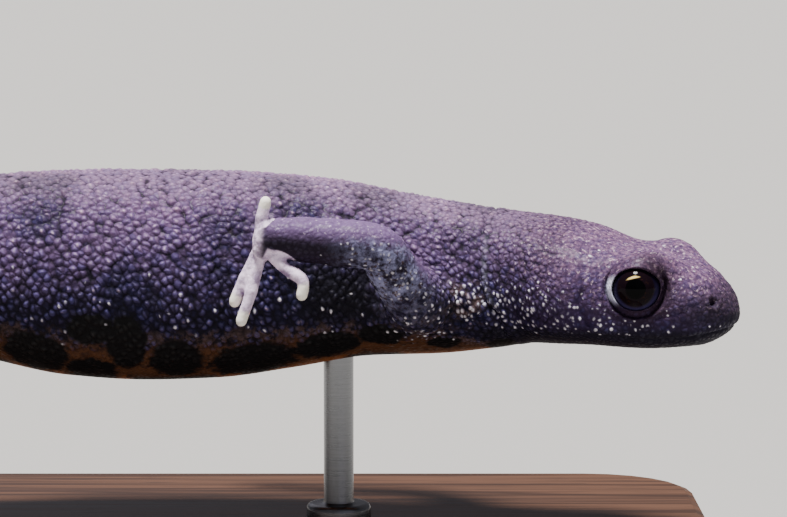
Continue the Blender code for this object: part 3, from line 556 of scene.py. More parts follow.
def legs():
    """Each leg's path, radii and paw."""
    found = []
    for side in (RIGHT, LEFT):
        fore = leg_path(FORELEG_S, FORELEG_TURN, FORELEG_STEPS[side], side)
        if side == RIGHT:
            hand = right_hand(fore[-1])
        else:
            hand = trailing_paw(
                fore, side, LEFT_HAND_HEADING, LEFT_HAND_DROOP_DEG, PALM_SIZE, HAND_SPREAD_DEG, HAND_LENGTHS
            )
        hind = leg_path(HINDLEG_S, HINDLEG_TURN, HINDLEG_STEPS[side], side)
        foot = trailing_paw(
            hind, side, FOOT_HEADING, FOOT_DROOP_DEG, SOLE_SIZE, FOOT_SPREAD_DEG, FOOT_LENGTHS
        )
        for path, radii, paw in ((fore, FORELEG_RADII, hand), (hind, HINDLEG_RADII, foot)):
            found.append((path, flow(radii, np.linspace(0, 1, len(path))), paw))
    return found


def leg_shells(path, radii, paw):
    """The shells of one leg, its palm and its digits, with the digits' paths."""
    centre, axes, digits = paw
    stub = [path[-1], path[-1].lerp(centre, 0.5), centre]
    wrist = tube_shell(stub, [radii[-1], radii[-1] * WRIST_NARROWING, WRIST_END_RADIUS])
    shells, paths = [tube_shell(path, radii, roundness=WRIST_ROUNDNESS), wrist, ball_shell(centre, axes)], []
    for knots in digits:
        way = smooth_path([centre] + knots, DIGIT_STEP)
        way = way[: -max(1, round(DIGIT_TIP_RADIUS / DIGIT_STEP))]
        share = np.linspace(0, 1, len(way))
        knuckle = KNUCKLE_SWELL * bell(share - KNUCKLE_AT, KNUCKLE_REACH)
        shells.append(tube_shell(way, DIGIT_RADIUS + (DIGIT_TIP_RADIUS - DIGIT_RADIUS) * share + knuckle, 16))
        paths.append(way)
    return shells, paths


def mesh_from(shells, name):
    """One mesh that holds all the shells."""
    points, faces, start = [], [], 0
    for shell_points, shell_faces in shells:
        points.append(shell_points)
        faces += [[index + start for index in face] for face in shell_faces]
        start += len(shell_points)
    mesh = bpy.data.meshes.new(name)
    mesh.from_pydata(np.concatenate(points).tolist(), [], faces)
    mesh.validate()
    shape = bmesh.new()
    shape.from_mesh(mesh)
    bmesh.ops.recalc_face_normals(shape, faces=shape.faces)
    shape.to_mesh(mesh)
    shape.free()
    return mesh


def new_object(name, mesh):
    obj = bpy.data.objects.new(name, mesh)
    bpy.context.scene.collection.objects.link(obj)
    return obj


def keep_evaluated(obj):
    """Gives the object the mesh that its modifiers make, without the modifiers."""
    graph = bpy.context.evaluated_depsgraph_get()
    mesh = bpy.data.meshes.new_from_object(obj.evaluated_get(graph), depsgraph=graph)
    obj.modifiers.clear()
    obj.data = mesh
    return obj


def read(items, name, size=3, kind=float):
    """One row of values for each item of a mesh, such as its vertices or edges."""
    values = np.empty(len(items) * size, kind)
    items.foreach_get(name, values)
    return values.reshape(-1, size)


def points_of(mesh):
    return read(mesh.vertices, "co")


def set_points(mesh, points):
    mesh.vertices.foreach_set("co", np.ascontiguousarray(points, dtype=float).ravel())
    mesh.update()


def normals_of(mesh):
    return read(mesh.vertex_normals, "vector")


def edges_of(mesh):
    return read(mesh.edges, "vertices", 2, int)


def towards_neighbours(points, edges):
    """From each point, the way to the middle of its neighbours."""
    count = len(points)
    first, second = edges.T
    total = [
        np.bincount(first, points[second, k], count) + np.bincount(second, points[first, k], count)
        for k in range(3)
    ]
    return np.stack(total, 1) / np.bincount(edges.ravel(), minlength=count)[:, None] - points


def relax(mesh, rounds):
    """Evens the surface without shrinking it: each round lets it sag, then pushes it back a bit further."""
    points, edges = points_of(mesh), edges_of(mesh)
    for _ in range(rounds):
        points += towards_neighbours(points, edges) * RELAX_SAG
        points -= towards_neighbours(points, edges) * RELAX_PUSH
    set_points(mesh, points)


def soften(mesh, rounds, share):
    """Lets the surface sag towards its neighbours, each point by its share."""
    points, edges = points_of(mesh), edges_of(mesh)
    for _ in range(rounds):
        points += towards_neighbours(points, edges) * share[:, None]
    set_points(mesh, points)


def fill_creases(mesh, rounds, share):
    """Rounds out the hollow seams where shells meet, as flesh does."""
    edges = edges_of(mesh)
    for _ in range(rounds):
        points, normals = points_of(mesh), normals_of(mesh)
        hollow = (towards_neighbours(points, edges) * normals).sum(1)
        push = np.clip(hollow - CREASE_LEAST, 0, CREASE_MOST) * share
        set_points(mesh, points + normals * push[:, None])


def refine(mesh, chosen):
    """Splits the chosen faces in four."""
    shape = bmesh.new()
    shape.from_mesh(mesh)
    shape.faces.ensure_lookup_table()
    edges = list({edge for index in np.flatnonzero(chosen) for edge in shape.faces[index].edges})
    bmesh.ops.subdivide_edges(shape, edges=edges, cuts=1, use_grid_fill=True)
    shape.to_mesh(mesh)
    shape.free()


def head_places(points):
    """Places in the head's own frame: backwards, left, up."""
    origin, axes = head_axes()
    return (points - origin) @ axes.T


def near_mouth(places, reach):
    """True within reach of the mouth line, on the skin of the lips."""
    back, _, up = places.T
    return (np.abs(up - straight(MOUTH_LINE, back)) < reach) & (back < MOUTH_END + 1.5) & (back > -1)


def from_nostril(places):
    """The way from the nearer nostril to each place: backwards, outward and up."""
    back, across, up = places.T
    return np.array([back - NOSTRIL_S, np.abs(across) - NOSTRIL_SIDE, up - NOSTRIL_HEIGHT])


def near_eye(points, reach):
    """True within reach of the middle of either eye's front."""
    chosen = np.zeros(len(points), bool)
    for side in (RIGHT, LEFT):
        ahead, upward, depth = eye_places(points, side)
        chosen |= (np.hypot(ahead, upward) < reach) & (depth > 0)
    return chosen


def carve_eyes(points, look):
    """Opens the lids over each eyeball: a rim that hugs it, a pocket behind, and a soft fold above."""
    for side in (RIGHT, LEFT):
        centre, axes = eye_frame(side)
        ahead, upward, depth = eye_places(points, side)
        half_high = np.where(upward > 0, look.lid_height_up, look.lid_height_down)
        reach = np.hypot(ahead / look.lid_half_width, upward / half_high)
        around = np.hypot(ahead, upward)
        here = (around < LIDS_REACH) & (depth > 0)
        above = ease(upward - 0.5 * ahead, -0.8, 1.2)
        thick = look.lid_thickness * (0.75 + 0.6 * above)
        hug = np.sqrt(np.clip((EYE_RADIUS + thick) ** 2 - around**2, 0, None))
        wanted = depth + (hug - depth) * ease(reach, 1.42, 1.02)
        wanted -= (0.02 + 0.06 * above) * bell(reach - 1.5, 0.14)
        wanted += (POCKET_DEPTH - wanted) * ease(reach, 1.0, 0.9)
        moved = centre + np.stack([ahead, upward, wanted], 1) @ axes
        points[here] = moved[here]
    return points


def ridge(name, distance):
    """The rise of one of the RIDGES at this distance from its line."""
    rise, width = RIDGES[name]
    return rise * bell(distance, width)


def carve_head(mesh, look):
    """Mouth, nostrils, jaw corner, brows, throat fold, neck folds and the grooves between the ribs."""
    points, normals = points_of(mesh), normals_of(mesh)
    places = head_places(points)
    s, side, height = spine_places(points)
    back, across, up = places.T
    across = np.abs(across)
    outer = across > SNOUT_HALF_WIDTH

    from_line = up - straight(MOUTH_LINE, back)
    along = ease(back, MOUTH_END + 0.4, MOUTH_END - 0.8) * (across < 8)
    push = along * (ridge("mouth", from_line) + ridge("lips", np.abs(from_line) - 0.4))
    corner = back - 10.7 + 0.25 * (up + 0.9) ** 2
    push += ridge("mouth corner", corner) * between(up, -3.0, -2.2, 0.0, 0.7) * outer
    brow = np.hypot((back - 5.0) / 2.4, (across - 2.7) / 1.7)
    push += look.brow_rise * bell(brow, 1.0) * ease(up, 0.8, 2.2)
    crease = up + 1.4 + 0.25 * (back - 2.6)
    push += ridge("snout crease", crease) * between(back, 2.2, 3.0, 4.6, 5.6) * outer

    level = level_of(s, height)
    beyond = s - straight(THROAT_FOLD, level)
    strength = 0.16 + 0.22 * bell(level + 0.2, 0.4)
    push -= strength * bell(beyond, 0.24) * ease(level, -0.95, -0.7)
    push += 0.3 * strength * bell(beyond + 0.6, 0.35)
    push += ridge("throat bulge", beyond - 1.6) * bell(level + 0.12, 0.26)
    here = between(level, -0.5, -0.1, 0.6, 1.0)
    for fold_s, depth in NECK_FOLDS:
        bent = s - fold_s + 0.5 * level - 0.3 * np.sin(height * 0.8 + fold_s)
        push += here * depth * (0.5 * bell(bent - 0.75, 0.5) - bell(bent, 0.26))

    back_gap, out_gap, up_gap = from_nostril(places)
    gap = np.sqrt((back_gap / 1.15) ** 2 + out_gap**2 + up_gap**2)
    push -= 0.5 * bell(gap, 0.34, 4)
    push += ridge("nostril rim", gap - 0.58)
    push += RIB_RISE * rib_wave(s) * between(s, *RIBBED) * ease(np.abs(side), 3.0, 5.0)
    set_points(mesh, points + normals * push[:, None])


def nearest_knot(path, points):
    """How far each point lies from the nearest knot of the path, and that knot's number."""
    gaps = np.linalg.norm(points[:, None] - path[None], axis=2)
    nearest = gaps.argmin(1)
    return gaps[np.arange(len(points)), nearest], nearest


def leg_masks(points, found):
    """How much each point belongs to a leg, how far out along a digit it lies, and its level on the leg."""
    limb, digit, lift = np.zeros((3, len(points)))
    for path, radii, (palm, palm_axes, _), ways in found:
        line = np.array([tuple(knot) for knot in path])
        near = np.flatnonzero(np.abs(points - line.mean(0)).max(1) < LEG_REACH)
        here = points[near]
        gap, knot = nearest_knot(line, here)
        mine = ease(gap / radii[knot], 1.7, 1.15) * ease(knot / (len(line) - 1), 0.14, 0.42)
        limb[near] = np.maximum(limb[near], mine)
        lift[near] = np.where(mine > 0, (here[:, 2] - line[knot, 2]) / radii[knot], lift[near])
        for way in ways:
            gap, knot = nearest_knot(np.array([tuple(k) for k in way]), here)
            mine = ease(gap, 1.1, 0.75)
            limb[near] = np.maximum(limb[near], mine)
            digit[near] = np.maximum(digit[near], mine * knot / (len(way) - 1))
        sizes = np.array([axis.length for axis in palm_axes])
        inward = np.array([tuple(axis.normalized()) for axis in palm_axes])
        ahead = np.array(palm) - np.array(path[-4])
        outer = np.array(palm) + PALM_SHIFT * ahead / np.linalg.norm(ahead)
        depth = np.linalg.norm((here - outer) @ inward.T / sizes, axis=1)
        digit[near] = np.maximum(digit[near], PALM_SHARE * ease(depth, 2.0, 0.7))
    return limb, digit, lift


def store(mesh, name, values):
    """Keeps one number for each point, or one place, under a name that the material reads."""
    kind, field = ("FLOAT", "value") if values.ndim == 1 else ("FLOAT_VECTOR", "vector")
    flat = np.ascontiguousarray(values, np.float32).ravel()
    mesh.attributes.new(name, kind, "POINT").data.foreach_set(field, flat)


# The nodes used most: kind, settings, the sockets that values go into and the output wanted
MIX = {"kind": "ShaderNodeMix", "data_type": "RGBA", "sockets": (0, 6, 7), "out": 2}
BLEND = {"kind": "ShaderNodeMix", "sockets": (0, 2, 3)}
EASE = {"kind": "ShaderNodeMapRange", "interpolation_type": "SMOOTHSTEP"}
SPREAD = {"kind": "ShaderNodeMapRange", "sockets": (0, 3, 4)}
PLUS = {"kind": "ShaderNodeMath", "operation": "ADD"}
MINUS = {"kind": "ShaderNodeMath", "operation": "SUBTRACT"}
TIMES = {"kind": "ShaderNodeMath", "operation": "MULTIPLY"}
TIMES_PLUS = {"kind": "ShaderNodeMath", "operation": "MULTIPLY_ADD"}
POWER = {"kind": "ShaderNodeMath", "operation": "POWER"}
HIGHEST = {"kind": "ShaderNodeMath", "operation": "MAXIMUM"}
NOISE = {"kind": "ShaderNodeTexNoise", "sockets": ("Vector", "Scale", "Detail", "Roughness", "Distortion")}
CELLS = {"kind": "ShaderNodeTexVoronoi", "sockets": ("Vector", "Scale", "Randomness"), "out": "Distance"}
BUMP = {"kind": "ShaderNodeBump", "sockets": ("Strength", "Distance", "Height"), "out": "Normal"}
STORED = {"kind": "ShaderNodeAttribute", "out": "Fac"}
STORED_PLACE = {"kind": "ShaderNodeAttribute", "out": "Vector"}
NAMED = {"kind": "GeometryNodeInputNamedAttribute"}
MOVE = {"kind": "ShaderNodeVectorMath", "operation": "MULTIPLY_ADD"}
STRETCH = {"kind": "ShaderNodeMapping", "sockets": ("Vector", "Scale")}


def add(tree, recipe, *values, **settings):
    """Adds a node of a type or recipe with its settings, sets or links its inputs, and gives an output."""
    settings = {**(recipe if isinstance(recipe, dict) else {"kind": recipe}), **settings}
    sockets, out = settings.pop("sockets", range(len(values))), settings.pop("out", 0)
    node = tree.nodes.new(settings.pop("kind"))
    for name, value in settings.items():
        setattr(node, name, value)
    for place, value in zip(sockets, values):
        socket = node.inputs[place]
        if isinstance(value, bpy.types.NodeSocket):
            tree.links.new(value, socket)
        elif socket.type == "RGBA":
            socket.default_value = (*value, 1.0)
        else:
            socket.default_value = value
    return node.outputs[out] if len(node.outputs) else node


def granules(put, place, scale, look):
    """Rounded pebbles of skin: their height from 0 to 1, how near each tip is, and a colour each."""
    wander = put(NOISE, place, 1.1 * scale, 1.0, out="Color")
    reach = [look.granule_wander / scale] * 3
    moved = put(MOVE, wander, reach, place)
    near = put(CELLS, moved, scale, look.granule_randomness)
    tint = near.node.outputs["Color"]
    furrow = put(CELLS, moved, scale, look.granule_randomness, feature="DISTANCE_TO_EDGE")
    apart = put(EASE, furrow, 0.0, look.furrow_share)
    fall = put(TIMES_PLUS, put(TIMES, near, near), -1 / look.granule_reach**2, 1.0, use_clamp=True)
    dome = put(TIMES, put(TIMES_PLUS, apart, 0.4, 0.6), put(POWER, fall, 1.15))
    return put(TIMES, dome, put(TIMES_PLUS, tint, 0.5, 0.75)), near, tint


def relief_group(look):
    """Geometry nodes that raise the granules out of the skin by the height that each place calls for."""
    group = bpy.data.node_groups.new("granular relief", "GeometryNodeTree")
    for way in ("INPUT", "OUTPUT"):
        group.interface.new_socket("Geometry", in_out=way, socket_type="NodeSocketGeometry")
    put = partial(add, group)
    start = put("NodeGroupInput")
    heights = []
    for mask, at, scale in (("coarse", "granular", 1.0), ("fine", "rest", 1 / look.fine_spacing)):
        place = put(NAMED, at, data_type="FLOAT_VECTOR")
        share = put(NAMED, mask, data_type="FLOAT")
        dome, _, _ = granules(put, place, scale, look)
        heights.append(put(TIMES, dome, share))
    height = put(PLUS, *heights)
    normal = put("GeometryNodeInputNormal")
    offset = put("ShaderNodeVectorMath", normal, height, sockets=(0, "Scale"), operation="SCALE")
    moved = put("GeometryNodeSetPosition", start, offset, sockets=("Geometry", "Offset"))
    put("NodeGroupOutput", moved)
    return group


def new_material(name):
    """An empty node material, the function that adds a node to it, and its Principled shader."""
    material = bpy.data.materials.new(name)
    material.use_nodes = True
    material.node_tree.nodes.clear()
    put = partial(add, material.node_tree)
    shader = put("ShaderNodeBsdfPrincipled").node
    put("ShaderNodeOutputMaterial", shader.outputs["BSDF"])
    return material, put, shader


def finish_shader(shader, colour, roughness, normal=None, **constants):
    """Links the colour, roughness and normal, and sets the other sockets, named with _ for a space."""
    constants["Roughness"] = roughness
    for name, value in {"Base Color": colour, "Normal": normal, **constants}.items():
        socket = shader.inputs[name.replace("_", " ")]
        if isinstance(value, bpy.types.NodeSocket):
            shader.id_data.links.new(value, socket)
        elif value is not None:
            socket.default_value = value


def wet_granular_skin(look):
    """Newt's skin, glandular and moist: matt domes that the light models one by one, their tops painted
    paler, partly with painted light, and dark furrows between, partly painted shade.
    """
    material, put, shader = new_material("wet_granular_skin")
    rest, granular = (put(STORED_PLACE, attribute_name=n) for n in ("rest", "granular"))
    level, limb, digit, belly, head, stipple, blotch, lid, rim, tail, warm, coarse, shade = (
        put(STORED, attribute_name=n)
        for n in "level limb digit belly head stipple blotch lid rim tail warm coarse shade".split()
    )
    cloud = put(NOISE, rest, CLOUDS, 3.0)
    grit = put(NOISE, rest, GRIT, 5.0, 0.65)
    speck = put(NOISE, rest, SPECKS, 3.0, 0.7)
    fleck = put(NOISE, rest, FLECKS, 3.0, 0.6)
    away = put("ShaderNodeVectorMath", grit.node.outputs["Color"], (-0.5, -0.5, -0.5), operation="ADD")
    warped = put(MOVE, away, (SPOT_WARP,) * 3, rest)

    coarse_dome, coarse_near, coarse_tint = granules(put, granular, 1.0, look)
    fine_dome, fine_near, fine_tint = granules(put, rest, 1 / look.fine_spacing, look)
    share = put(EASE, coarse, 0.02, 0.1)
    dome = put(BLEND, share, fine_dome, coarse_dome)
    near = put(BLEND, share, fine_near, coarse_near)
    tint = put(MIX, share, fine_tint, coarse_tint)
    first, second, third = put("ShaderNodeSeparateColor", tint).node.outputs

    # The ground runs from dusty purple brown on the back to blue-black low on the flanks
    lift = put(TIMES_PLUS, cloud, 1.1, put(MINUS, level, 0.55))
    upper = put(EASE, lift, -0.35, 1.4)
    spot = put(CELLS, warped, 1 / look.spot_spacing, 0.9)
    spotted = put(TIMES, put(EASE, spot, 0.55, 0.25), put(MINUS, 1.0, head))
    face = put(MIX, put(EASE, lift, -0.5, 1.15), look.cheek_colour, look.head_colour)
    ground = put(MIX, upper, look.flank_colour, look.back_colour)
    ground = put(MIX, put(TIMES, spotted, 0.75), ground, look.spot_colour)
    ground = put(MIX, put(TIMES, head, 0.85), ground, face)

    # Each granule has its own tint: most are dusty on top, some are blue, and the furrows are dark. The paler
    # tops are partly that tint and partly painted light, the dark furrows partly their own colour and partly
    # painted shade, and a faint painted sheen lies along the top of the back
    crown = put(EASE, dome, 0.35, 1.0)
    top = put(TIMES, crown, put(TIMES_PLUS, first, 0.75, 0.25))
    dusty = put(MIX, put(EASE, second, 0.2, 0.8), look.dome_colour, look.rosy_dome_colour)
    pale = put(MIX, upper, look.low_dome_colour, dusty)
    less = put(TIMES_PLUS, spotted, -0.45, put(TIMES_PLUS, head, -0.4, 0.75))
    blue = put(TIMES, put(EASE, third, 0.6, 1.0), 0.3)
    # A faint painted sheen along the top of the back
    painted_back_sheen = put(TIMES, put(EASE, level, 0.68, 0.98), put(TIMES_PLUS, head, -0.1, 0.1))
    furrow = put(EASE, dome, 0.52, 0.0)
    depth = put(TIMES_PLUS, share, put(TIMES_PLUS, upper, -0.05, 0.72), 0.25)

    # The head is freckled, dark and pale, and a few granules of the body get a painted glint
    freckled = put(TIMES, put(EASE, speck, 0.52, 0.66), put(TIMES_PLUS, head, 0.5, 0.12))
    freckled = put(TIMES, freckled, put(TIMES, upper, 0.75))
    dusky = put(TIMES, put(EASE, speck, 0.5, 0.36), put(TIMES, head, 0.7))
    pricked = put(TIMES, put(EASE, fleck, 0.46, 0.3), put(TIMES, head, 0.8))
    powdered = put(TIMES, put(EASE, fleck, 0.56, 0.74), put(TIMES_PLUS, head, 0.75, 0.05))
    powdered = put(TIMES, powdered, put(EASE, lift, -0.1, 0.5))
    glint = put(TIMES, put(EASE, near, 0.34, 0.0), put(EASE, first, 0.72, 0.95))
    glint = put(TIMES, glint, put(TIMES, share, 0.55))
    for cover, colour in (
        (put(TIMES, top, less), pale), (blue, look.blue_dome_colour), (painted_back_sheen, look.fleck_and_glint_colour),
        (put(TIMES, furrow, depth), look.furrow_shade_colour), (freckled, look.rosy_dome_colour),
        (dusky, look.cheek_colour), (pricked, look.cheek_colour), (powdered, look.fleck_and_glint_colour),
        (glint, look.fleck_and_glint_colour), (put(TIMES, lid, 0.8), look.lid_colour),
    ):
        ground = put(MIX, cover, ground, colour)

    # Low on the flank a brown mottle, then the belly's orange, with round black blotches over both
    mottle = put(MIX, put(EASE, grit, 0.42, 0.6), look.mottle_dark, look.mottle_colour)
    # The mottle's granules get the same paler tops and dark furrows, partly painted light and partly painted
    # shade
    mottle = put(MIX, put(TIMES, top, 0.35), mottle, look.low_dome_colour)
    mottle = put(MIX, put(TIMES, furrow, 0.7), mottle, look.furrow_shade_colour)
    ground = put(MIX, put(TIMES, warm, put(EASE, grit, 0.42, 0.58)), ground, mottle)
    # Painted shade from the stored shade mask: low on the flank, under the arm, between the ribs, under the
    # jaw and on the snout
    ground = put(MIX, shade, ground, look.shade_colour)
    ragged = put(TIMES_PLUS, grit, 1.0, put(MINUS, belly, 0.5))
    # The dull orange between the side's blotches is partly the belly's own colour and partly painted shade
    under = put(MIX, put(EASE, ragged, 0.6, 0.95), mottle, look.belly_side_colour)
    under = put(MIX, put(EASE, level, -0.86, -1.06), under, look.belly_colour)
    under = put(MIX, put(TIMES, put(EASE, grit, 0.5, 0.66), 0.6), under, look.mottle_dark)
    patch = put(CELLS, warped, 1 / look.blotch_spacing, 0.8)
    beneath = put(TIMES, put(EASE, patch, 0.55, 0.4), put(EASE, level, -0.84, -0.96))
    beneath = put(TIMES, put(TIMES, beneath, belly), put(MINUS, 1.0, tail))
    edge = put(TIMES_PLUS, grit, 0.8, put(MINUS, blotch, 0.4))
    black = put(HIGHEST, beneath, put(EASE, edge, -0.1, 0.16))
    skin = put(MIX, put(EASE, ragged, 0.28, 0.55), ground, under)
    skin = put(MIX, black, skin, look.blotch_colour)

    # Legs are smoother and more lilac, with blue and brown patches under the upper arm. Their undersides get
    # painted shade, their furrows a little painted shade, and the forearm painted glints on its upper side
    # and a painted shadow of the palm at the wrist
    arm = put(MIX, put(EASE, level, -0.2, 0.85), look.limb_mottle_and_shade_colour, look.limb_colour)
    gleam = put(TIMES, put(EASE, fleck, 0.58, 0.72), put(EASE, level, 0.0, 0.7))
    patchy = put(MIX, put(EASE, speck, 0.5, 0.66), look.limb_blue_colour, look.mottle_colour)
    for cover, colour in (
        (put(TIMES, furrow, 0.15), look.furrow_shade_colour),
        (put(TIMES, put(EASE, speck, 0.5, 0.35), 0.25), look.limb_mottle_and_shade_colour),
        (put(TIMES, gleam, 0.35), look.digit_and_glint_colour),
        (put(TIMES, warm, put(EASE, grit, 0.36, 0.66)), patchy),
        # A painted shadow of the palm on the forearm at the wrist
        (put(TIMES, put(EASE, digit, 0.0, 0.03), 0.5), look.limb_mottle_and_shade_colour),
    ):
        arm = put(MIX, cover, arm, colour)

    # The digits end pale, the eye has a pale rim, a painted highlight where the lid's edge catches the light,
    # and white stipples are the tips of single granules
    # Darker patches at random over the digits: partly their brown mottle, partly painted shade
    digit_mottle_and_shade = put(MIX, put(EASE, grit, 0.3, 0.68), look.digit_shade_colour, look.digit_and_glint_colour)
    milky = put(TIMES, put(EASE, stipple, 0.9, 1.6), put(TIMES, crown, 0.5))
    there = put(EASE, put(MINUS, stipple, third), 0.0, 0.04)
    swollen = put(TIMES_PLUS, stipple, -0.1, put(TIMES_PLUS, first, -0.14, near))
    tip = put(EASE, swollen, 0.26, -0.04)
    faint = put(TIMES_PLUS, second, 0.75, 0.4)
    white = put(TIMES, put(TIMES, tip, there), faint, use_clamp=True)
    for cover, colour in (
        (put(TIMES, limb, 0.9), arm),
        (put(EASE, digit, 0.01, 0.17), digit_mottle_and_shade),
        (put(EASE, digit, 0.82, 0.93), look.digit_tip_colour),
        (rim, look.rim_colour),
        (milky, look.fleck_and_glint_colour),
        (put(TIMES, white, put(TIMES_PLUS, limb, -0.35, 0.95)), look.stipple_colour),
    ):
        skin = put(MIX, cover, skin, colour)

    height = put(TIMES_PLUS, white, 0.5, put(TIMES_PLUS, speck, 0.3, dome))
    smooth = put(TIMES_PLUS, put(HIGHEST, digit, black), -0.8, 1.0)
    strength = put(TIMES, smooth, put(TIMES_PLUS, share, 0.5, 0.5))
    finish_shader(
        shader, skin, put(SPREAD, crown, 0.85, 0.5), put(BUMP, strength, look.bump_depth * MM, height),
        Specular_IOR_Level=0.18, Subsurface_Weight=0.04, Subsurface_Scale=1.0,
        Subsurface_Radius=(0.0005, 0.0003, 0.0002), Coat_Weight=0.04, Coat_Roughness=0.25,
    )
    return material


def cornea_over_iris(look):
    """A living eye, clear cornea over a dark iris: black pupil, an arc of gold over it, a violet rim."""
    material, put, shader = new_material("cornea_over_iris")
    place = put(STORED_PLACE, attribute_name="eye_place")
    ahead, upward, _ = put("ShaderNodeSeparateXYZ", place).node.outputs
    flecks = put(NOISE, place, IRIS_FLECKS, 4.0, 0.7)
    radius = put(POWER, put(TIMES_PLUS, upward, upward, put(TIMES, ahead, ahead)), 0.5)
    wavy = put(PLUS, radius, put(TIMES_PLUS, flecks, 0.16, -0.08))
    slant = put(TIMES_PLUS, ahead, -0.2, upward)
    band = put(TIMES, put(EASE, wavy, 1.02, 0.93), put(EASE, slant, 0.78, 0.9))
    line = put(TIMES, put(EASE, radius, 1.3, 1.6), put(EASE, radius, 1.85, 1.6))
    line = put(TIMES, line, put(EASE, upward, 0.6, -0.9))
    eye = put(MIX, put(EASE, flecks, 0.54, 0.72), look.iris_colour, look.iris_fleck_colour)
    for cover, colour in (
        (band, look.iris_ring_colour),
        (put(EASE, wavy, 0.8, 0.75), look.pupil_colour),
        (put(EASE, radius, 1.38, 1.5), look.eye_edge_colour),
        (put(TIMES, line, 0.35), look.eye_line_colour),
    ):
        eye = put(MIX, cover, eye, colour)
    finish_shader(shader, eye, 0.09, IOR=1.376, Specular_IOR_Level=0.08)
    return material


def oiled_walnut(look):
    """Walnut, planed and oiled: brown heartwood with darker growth lines and short open pores."""
    material, put, shader = new_material("oiled_walnut_planed")
    place = put("ShaderNodeTexCoord", out="Object")
    bend = put(NOISE, put(STRETCH, place, GROWTH_LINES), 1.0, 3.0, 0.5, 0.6)
    rings = put("ShaderNodeMath", put(TIMES, bend, 7.0), 1.0, operation="PINGPONG")
    pitted = put(EASE, put(NOISE, put(STRETCH, place, PORES), 2.0, 2.0, 0.7), 0.42, 0.32)
    colour = put(MIX, put(EASE, rings, 0.0, 1.0), look.wood_dark, look.wood_light)
    colour = put(MIX, put(TIMES, pitted, 0.6), colour, look.wood_pore)
    bump = put(BUMP, 0.35, 0.05 * MM, put(MINUS, 1.0, pitted))
    finish_shader(shader, colour, put(SPREAD, rings, 0.4, 0.5), bump, Coat_Weight=0.12, Coat_Roughness=0.3)
    return material


def turned_steel(look):
    """Stainless steel, turned on a lathe: fine rings round the rod that draw the light out sideways."""
    material, put, shader = new_material("stainless_steel_turned")
    lines = put(NOISE, put(STRETCH, put("ShaderNodeTexCoord", out="Object"), TURNING_MARKS), 1.0, 2.0)
    shade = put(MIX, lines, look.steel_dark, look.steel_light)
    bump = put(BUMP, 0.3, 0.01 * MM, lines)
    finish_shader(shader, shade, put(SPREAD, lines, 0.22, 0.36), bump, Metallic=1.0)
    return material


def matt_floor(look):
    """Card, matt and uncoated: a plain pale ground with hardly any sheen."""
    material, put, shader = new_material("uncoated_card_matt")
    fibre = put("ShaderNodeTexNoise", CARD_FIBRES, 2.0, sockets=("Scale", "Detail"))
    shade = put(MIX, fibre, look.floor_colour, tuple(c * 0.985 for c in look.floor_colour))
    finish_shader(shader, shade, 0.9)
    return material


def fused_flesh(look):
    """All shells fused on an even mesh, with seams filled and joins softened, and the legs it was made of."""
    shells = [body_shell(), fin_shell(UPPER_FIN, BACK_LINE, 1), fin_shell(LOWER_FIN, BELLY_LINE, -1)]
    for side in (RIGHT, LEFT):
        centre, axes = eye_frame(side)
        shells.append(ball_shell(centre, axes * LID_MOUND_RADIUS, 40, 24))
    found = []
    for path, radii, paw in legs():
        pieces, ways = leg_shells(path, radii, paw)
        shells += pieces
        found.append((path, radii, paw, ways))
    skin = new_object("newt_skin", mesh_from(shells, "newt_skin"))
    even = skin.modifiers.new("even mesh", "REMESH")
    even.mode = "VOXEL"
    even.voxel_size = look.mesh_size
    keep_evaluated(skin)
    mesh = skin.data
    relax(mesh, 3)
    _, digit, _ = leg_masks(points_of(mesh), found)
    fill_creases(mesh, look.crease_rounds, 0.5 - 0.3 * digit)
    points = points_of(mesh)
    joins = np.zeros(len(points))
    for path, _, _, _ in found:
        root = np.array(path[round(ROOT_DEPTH / LEG_STEP) + 2])
        joins = np.maximum(joins, ease(np.linalg.norm(points - root, axis=1), 4.6, 2.4))
    for side in (RIGHT, LEFT):
        places = eye_places(points, side)
        around = np.linalg.norm(places, axis=0)
        joins = np.maximum(joins, 0.8 * ease(places[1], 1.6, 0.2) * between(around, 1.9, 2.3, 3.1, 3.9))
    soften(mesh, look.soften_rounds, 0.5 * joins)
    relax(mesh, 2)
    return skin, found


def cut_face(mesh, look):
    """Splits the faces round the mouth, nostrils and eyes finely, and carves them."""
    for reach in (1.0, 0.6):
        centres = read(mesh.polygons, "center")
        places = head_places(centres)
        nostril = np.linalg.norm(from_nostril(places), axis=0) < 1.4 * reach
        refine(mesh, near_mouth(places, 0.9 * reach) | nostril | near_eye(centres, 3.4 * reach))
    relax(mesh, 2)
    set_points(mesh, carve_eyes(points_of(mesh), look))
    carve_head(mesh, look)


def eye_masks(points, look):
    """How far each point is from an eye's middle, and its shares of the rim's painted highlight and of the
    dark lids.
    """
    gap, rim, lid = np.full(len(points), 9.0), np.zeros(len(points)), np.zeros(len(points))
    for side in (RIGHT, LEFT):
        ahead, upward, depth = eye_places(points, side)
        around = np.hypot(ahead, upward)
        reach = np.hypot(ahead / look.lid_half_width, upward / look.lid_height_up)
        gap = np.where(depth > -1, np.minimum(gap, around), gap)
        behind = ease(ahead, -0.9, -1.7) * between(upward, -1.5, -0.3, 0.2, 1.2)
        # The rim behind the eye: a painted highlight where the lid's edge catches the light
        rim = np.maximum(rim, behind * ease(reach, 1.27, 1.1) * (depth > 0))
        dark = np.maximum(ease(ahead, -0.4, 1.4), 0.75 * ease(upward, -0.4, -2.0))
        lid = np.maximum(lid, ease(around, 3.1 + 0.7 * dark, 2.2) * (depth > 0) * (0.35 + 0.65 * dark))
    return gap, rim, lid


def blotch_mask(s, side, level):
    """1 in the middle of a black blotch of the flank, 0 at its edge and -1 far from all of them."""
    shifted = np.where(side > 0, s - LEFT_SHIFT, s)
    gaps = [np.hypot((shifted - at) / along, (level - low) / high) for at, low, along, high in BLOTCHES]
    return np.maximum(1 - np.min(gaps, 0), -1.0)


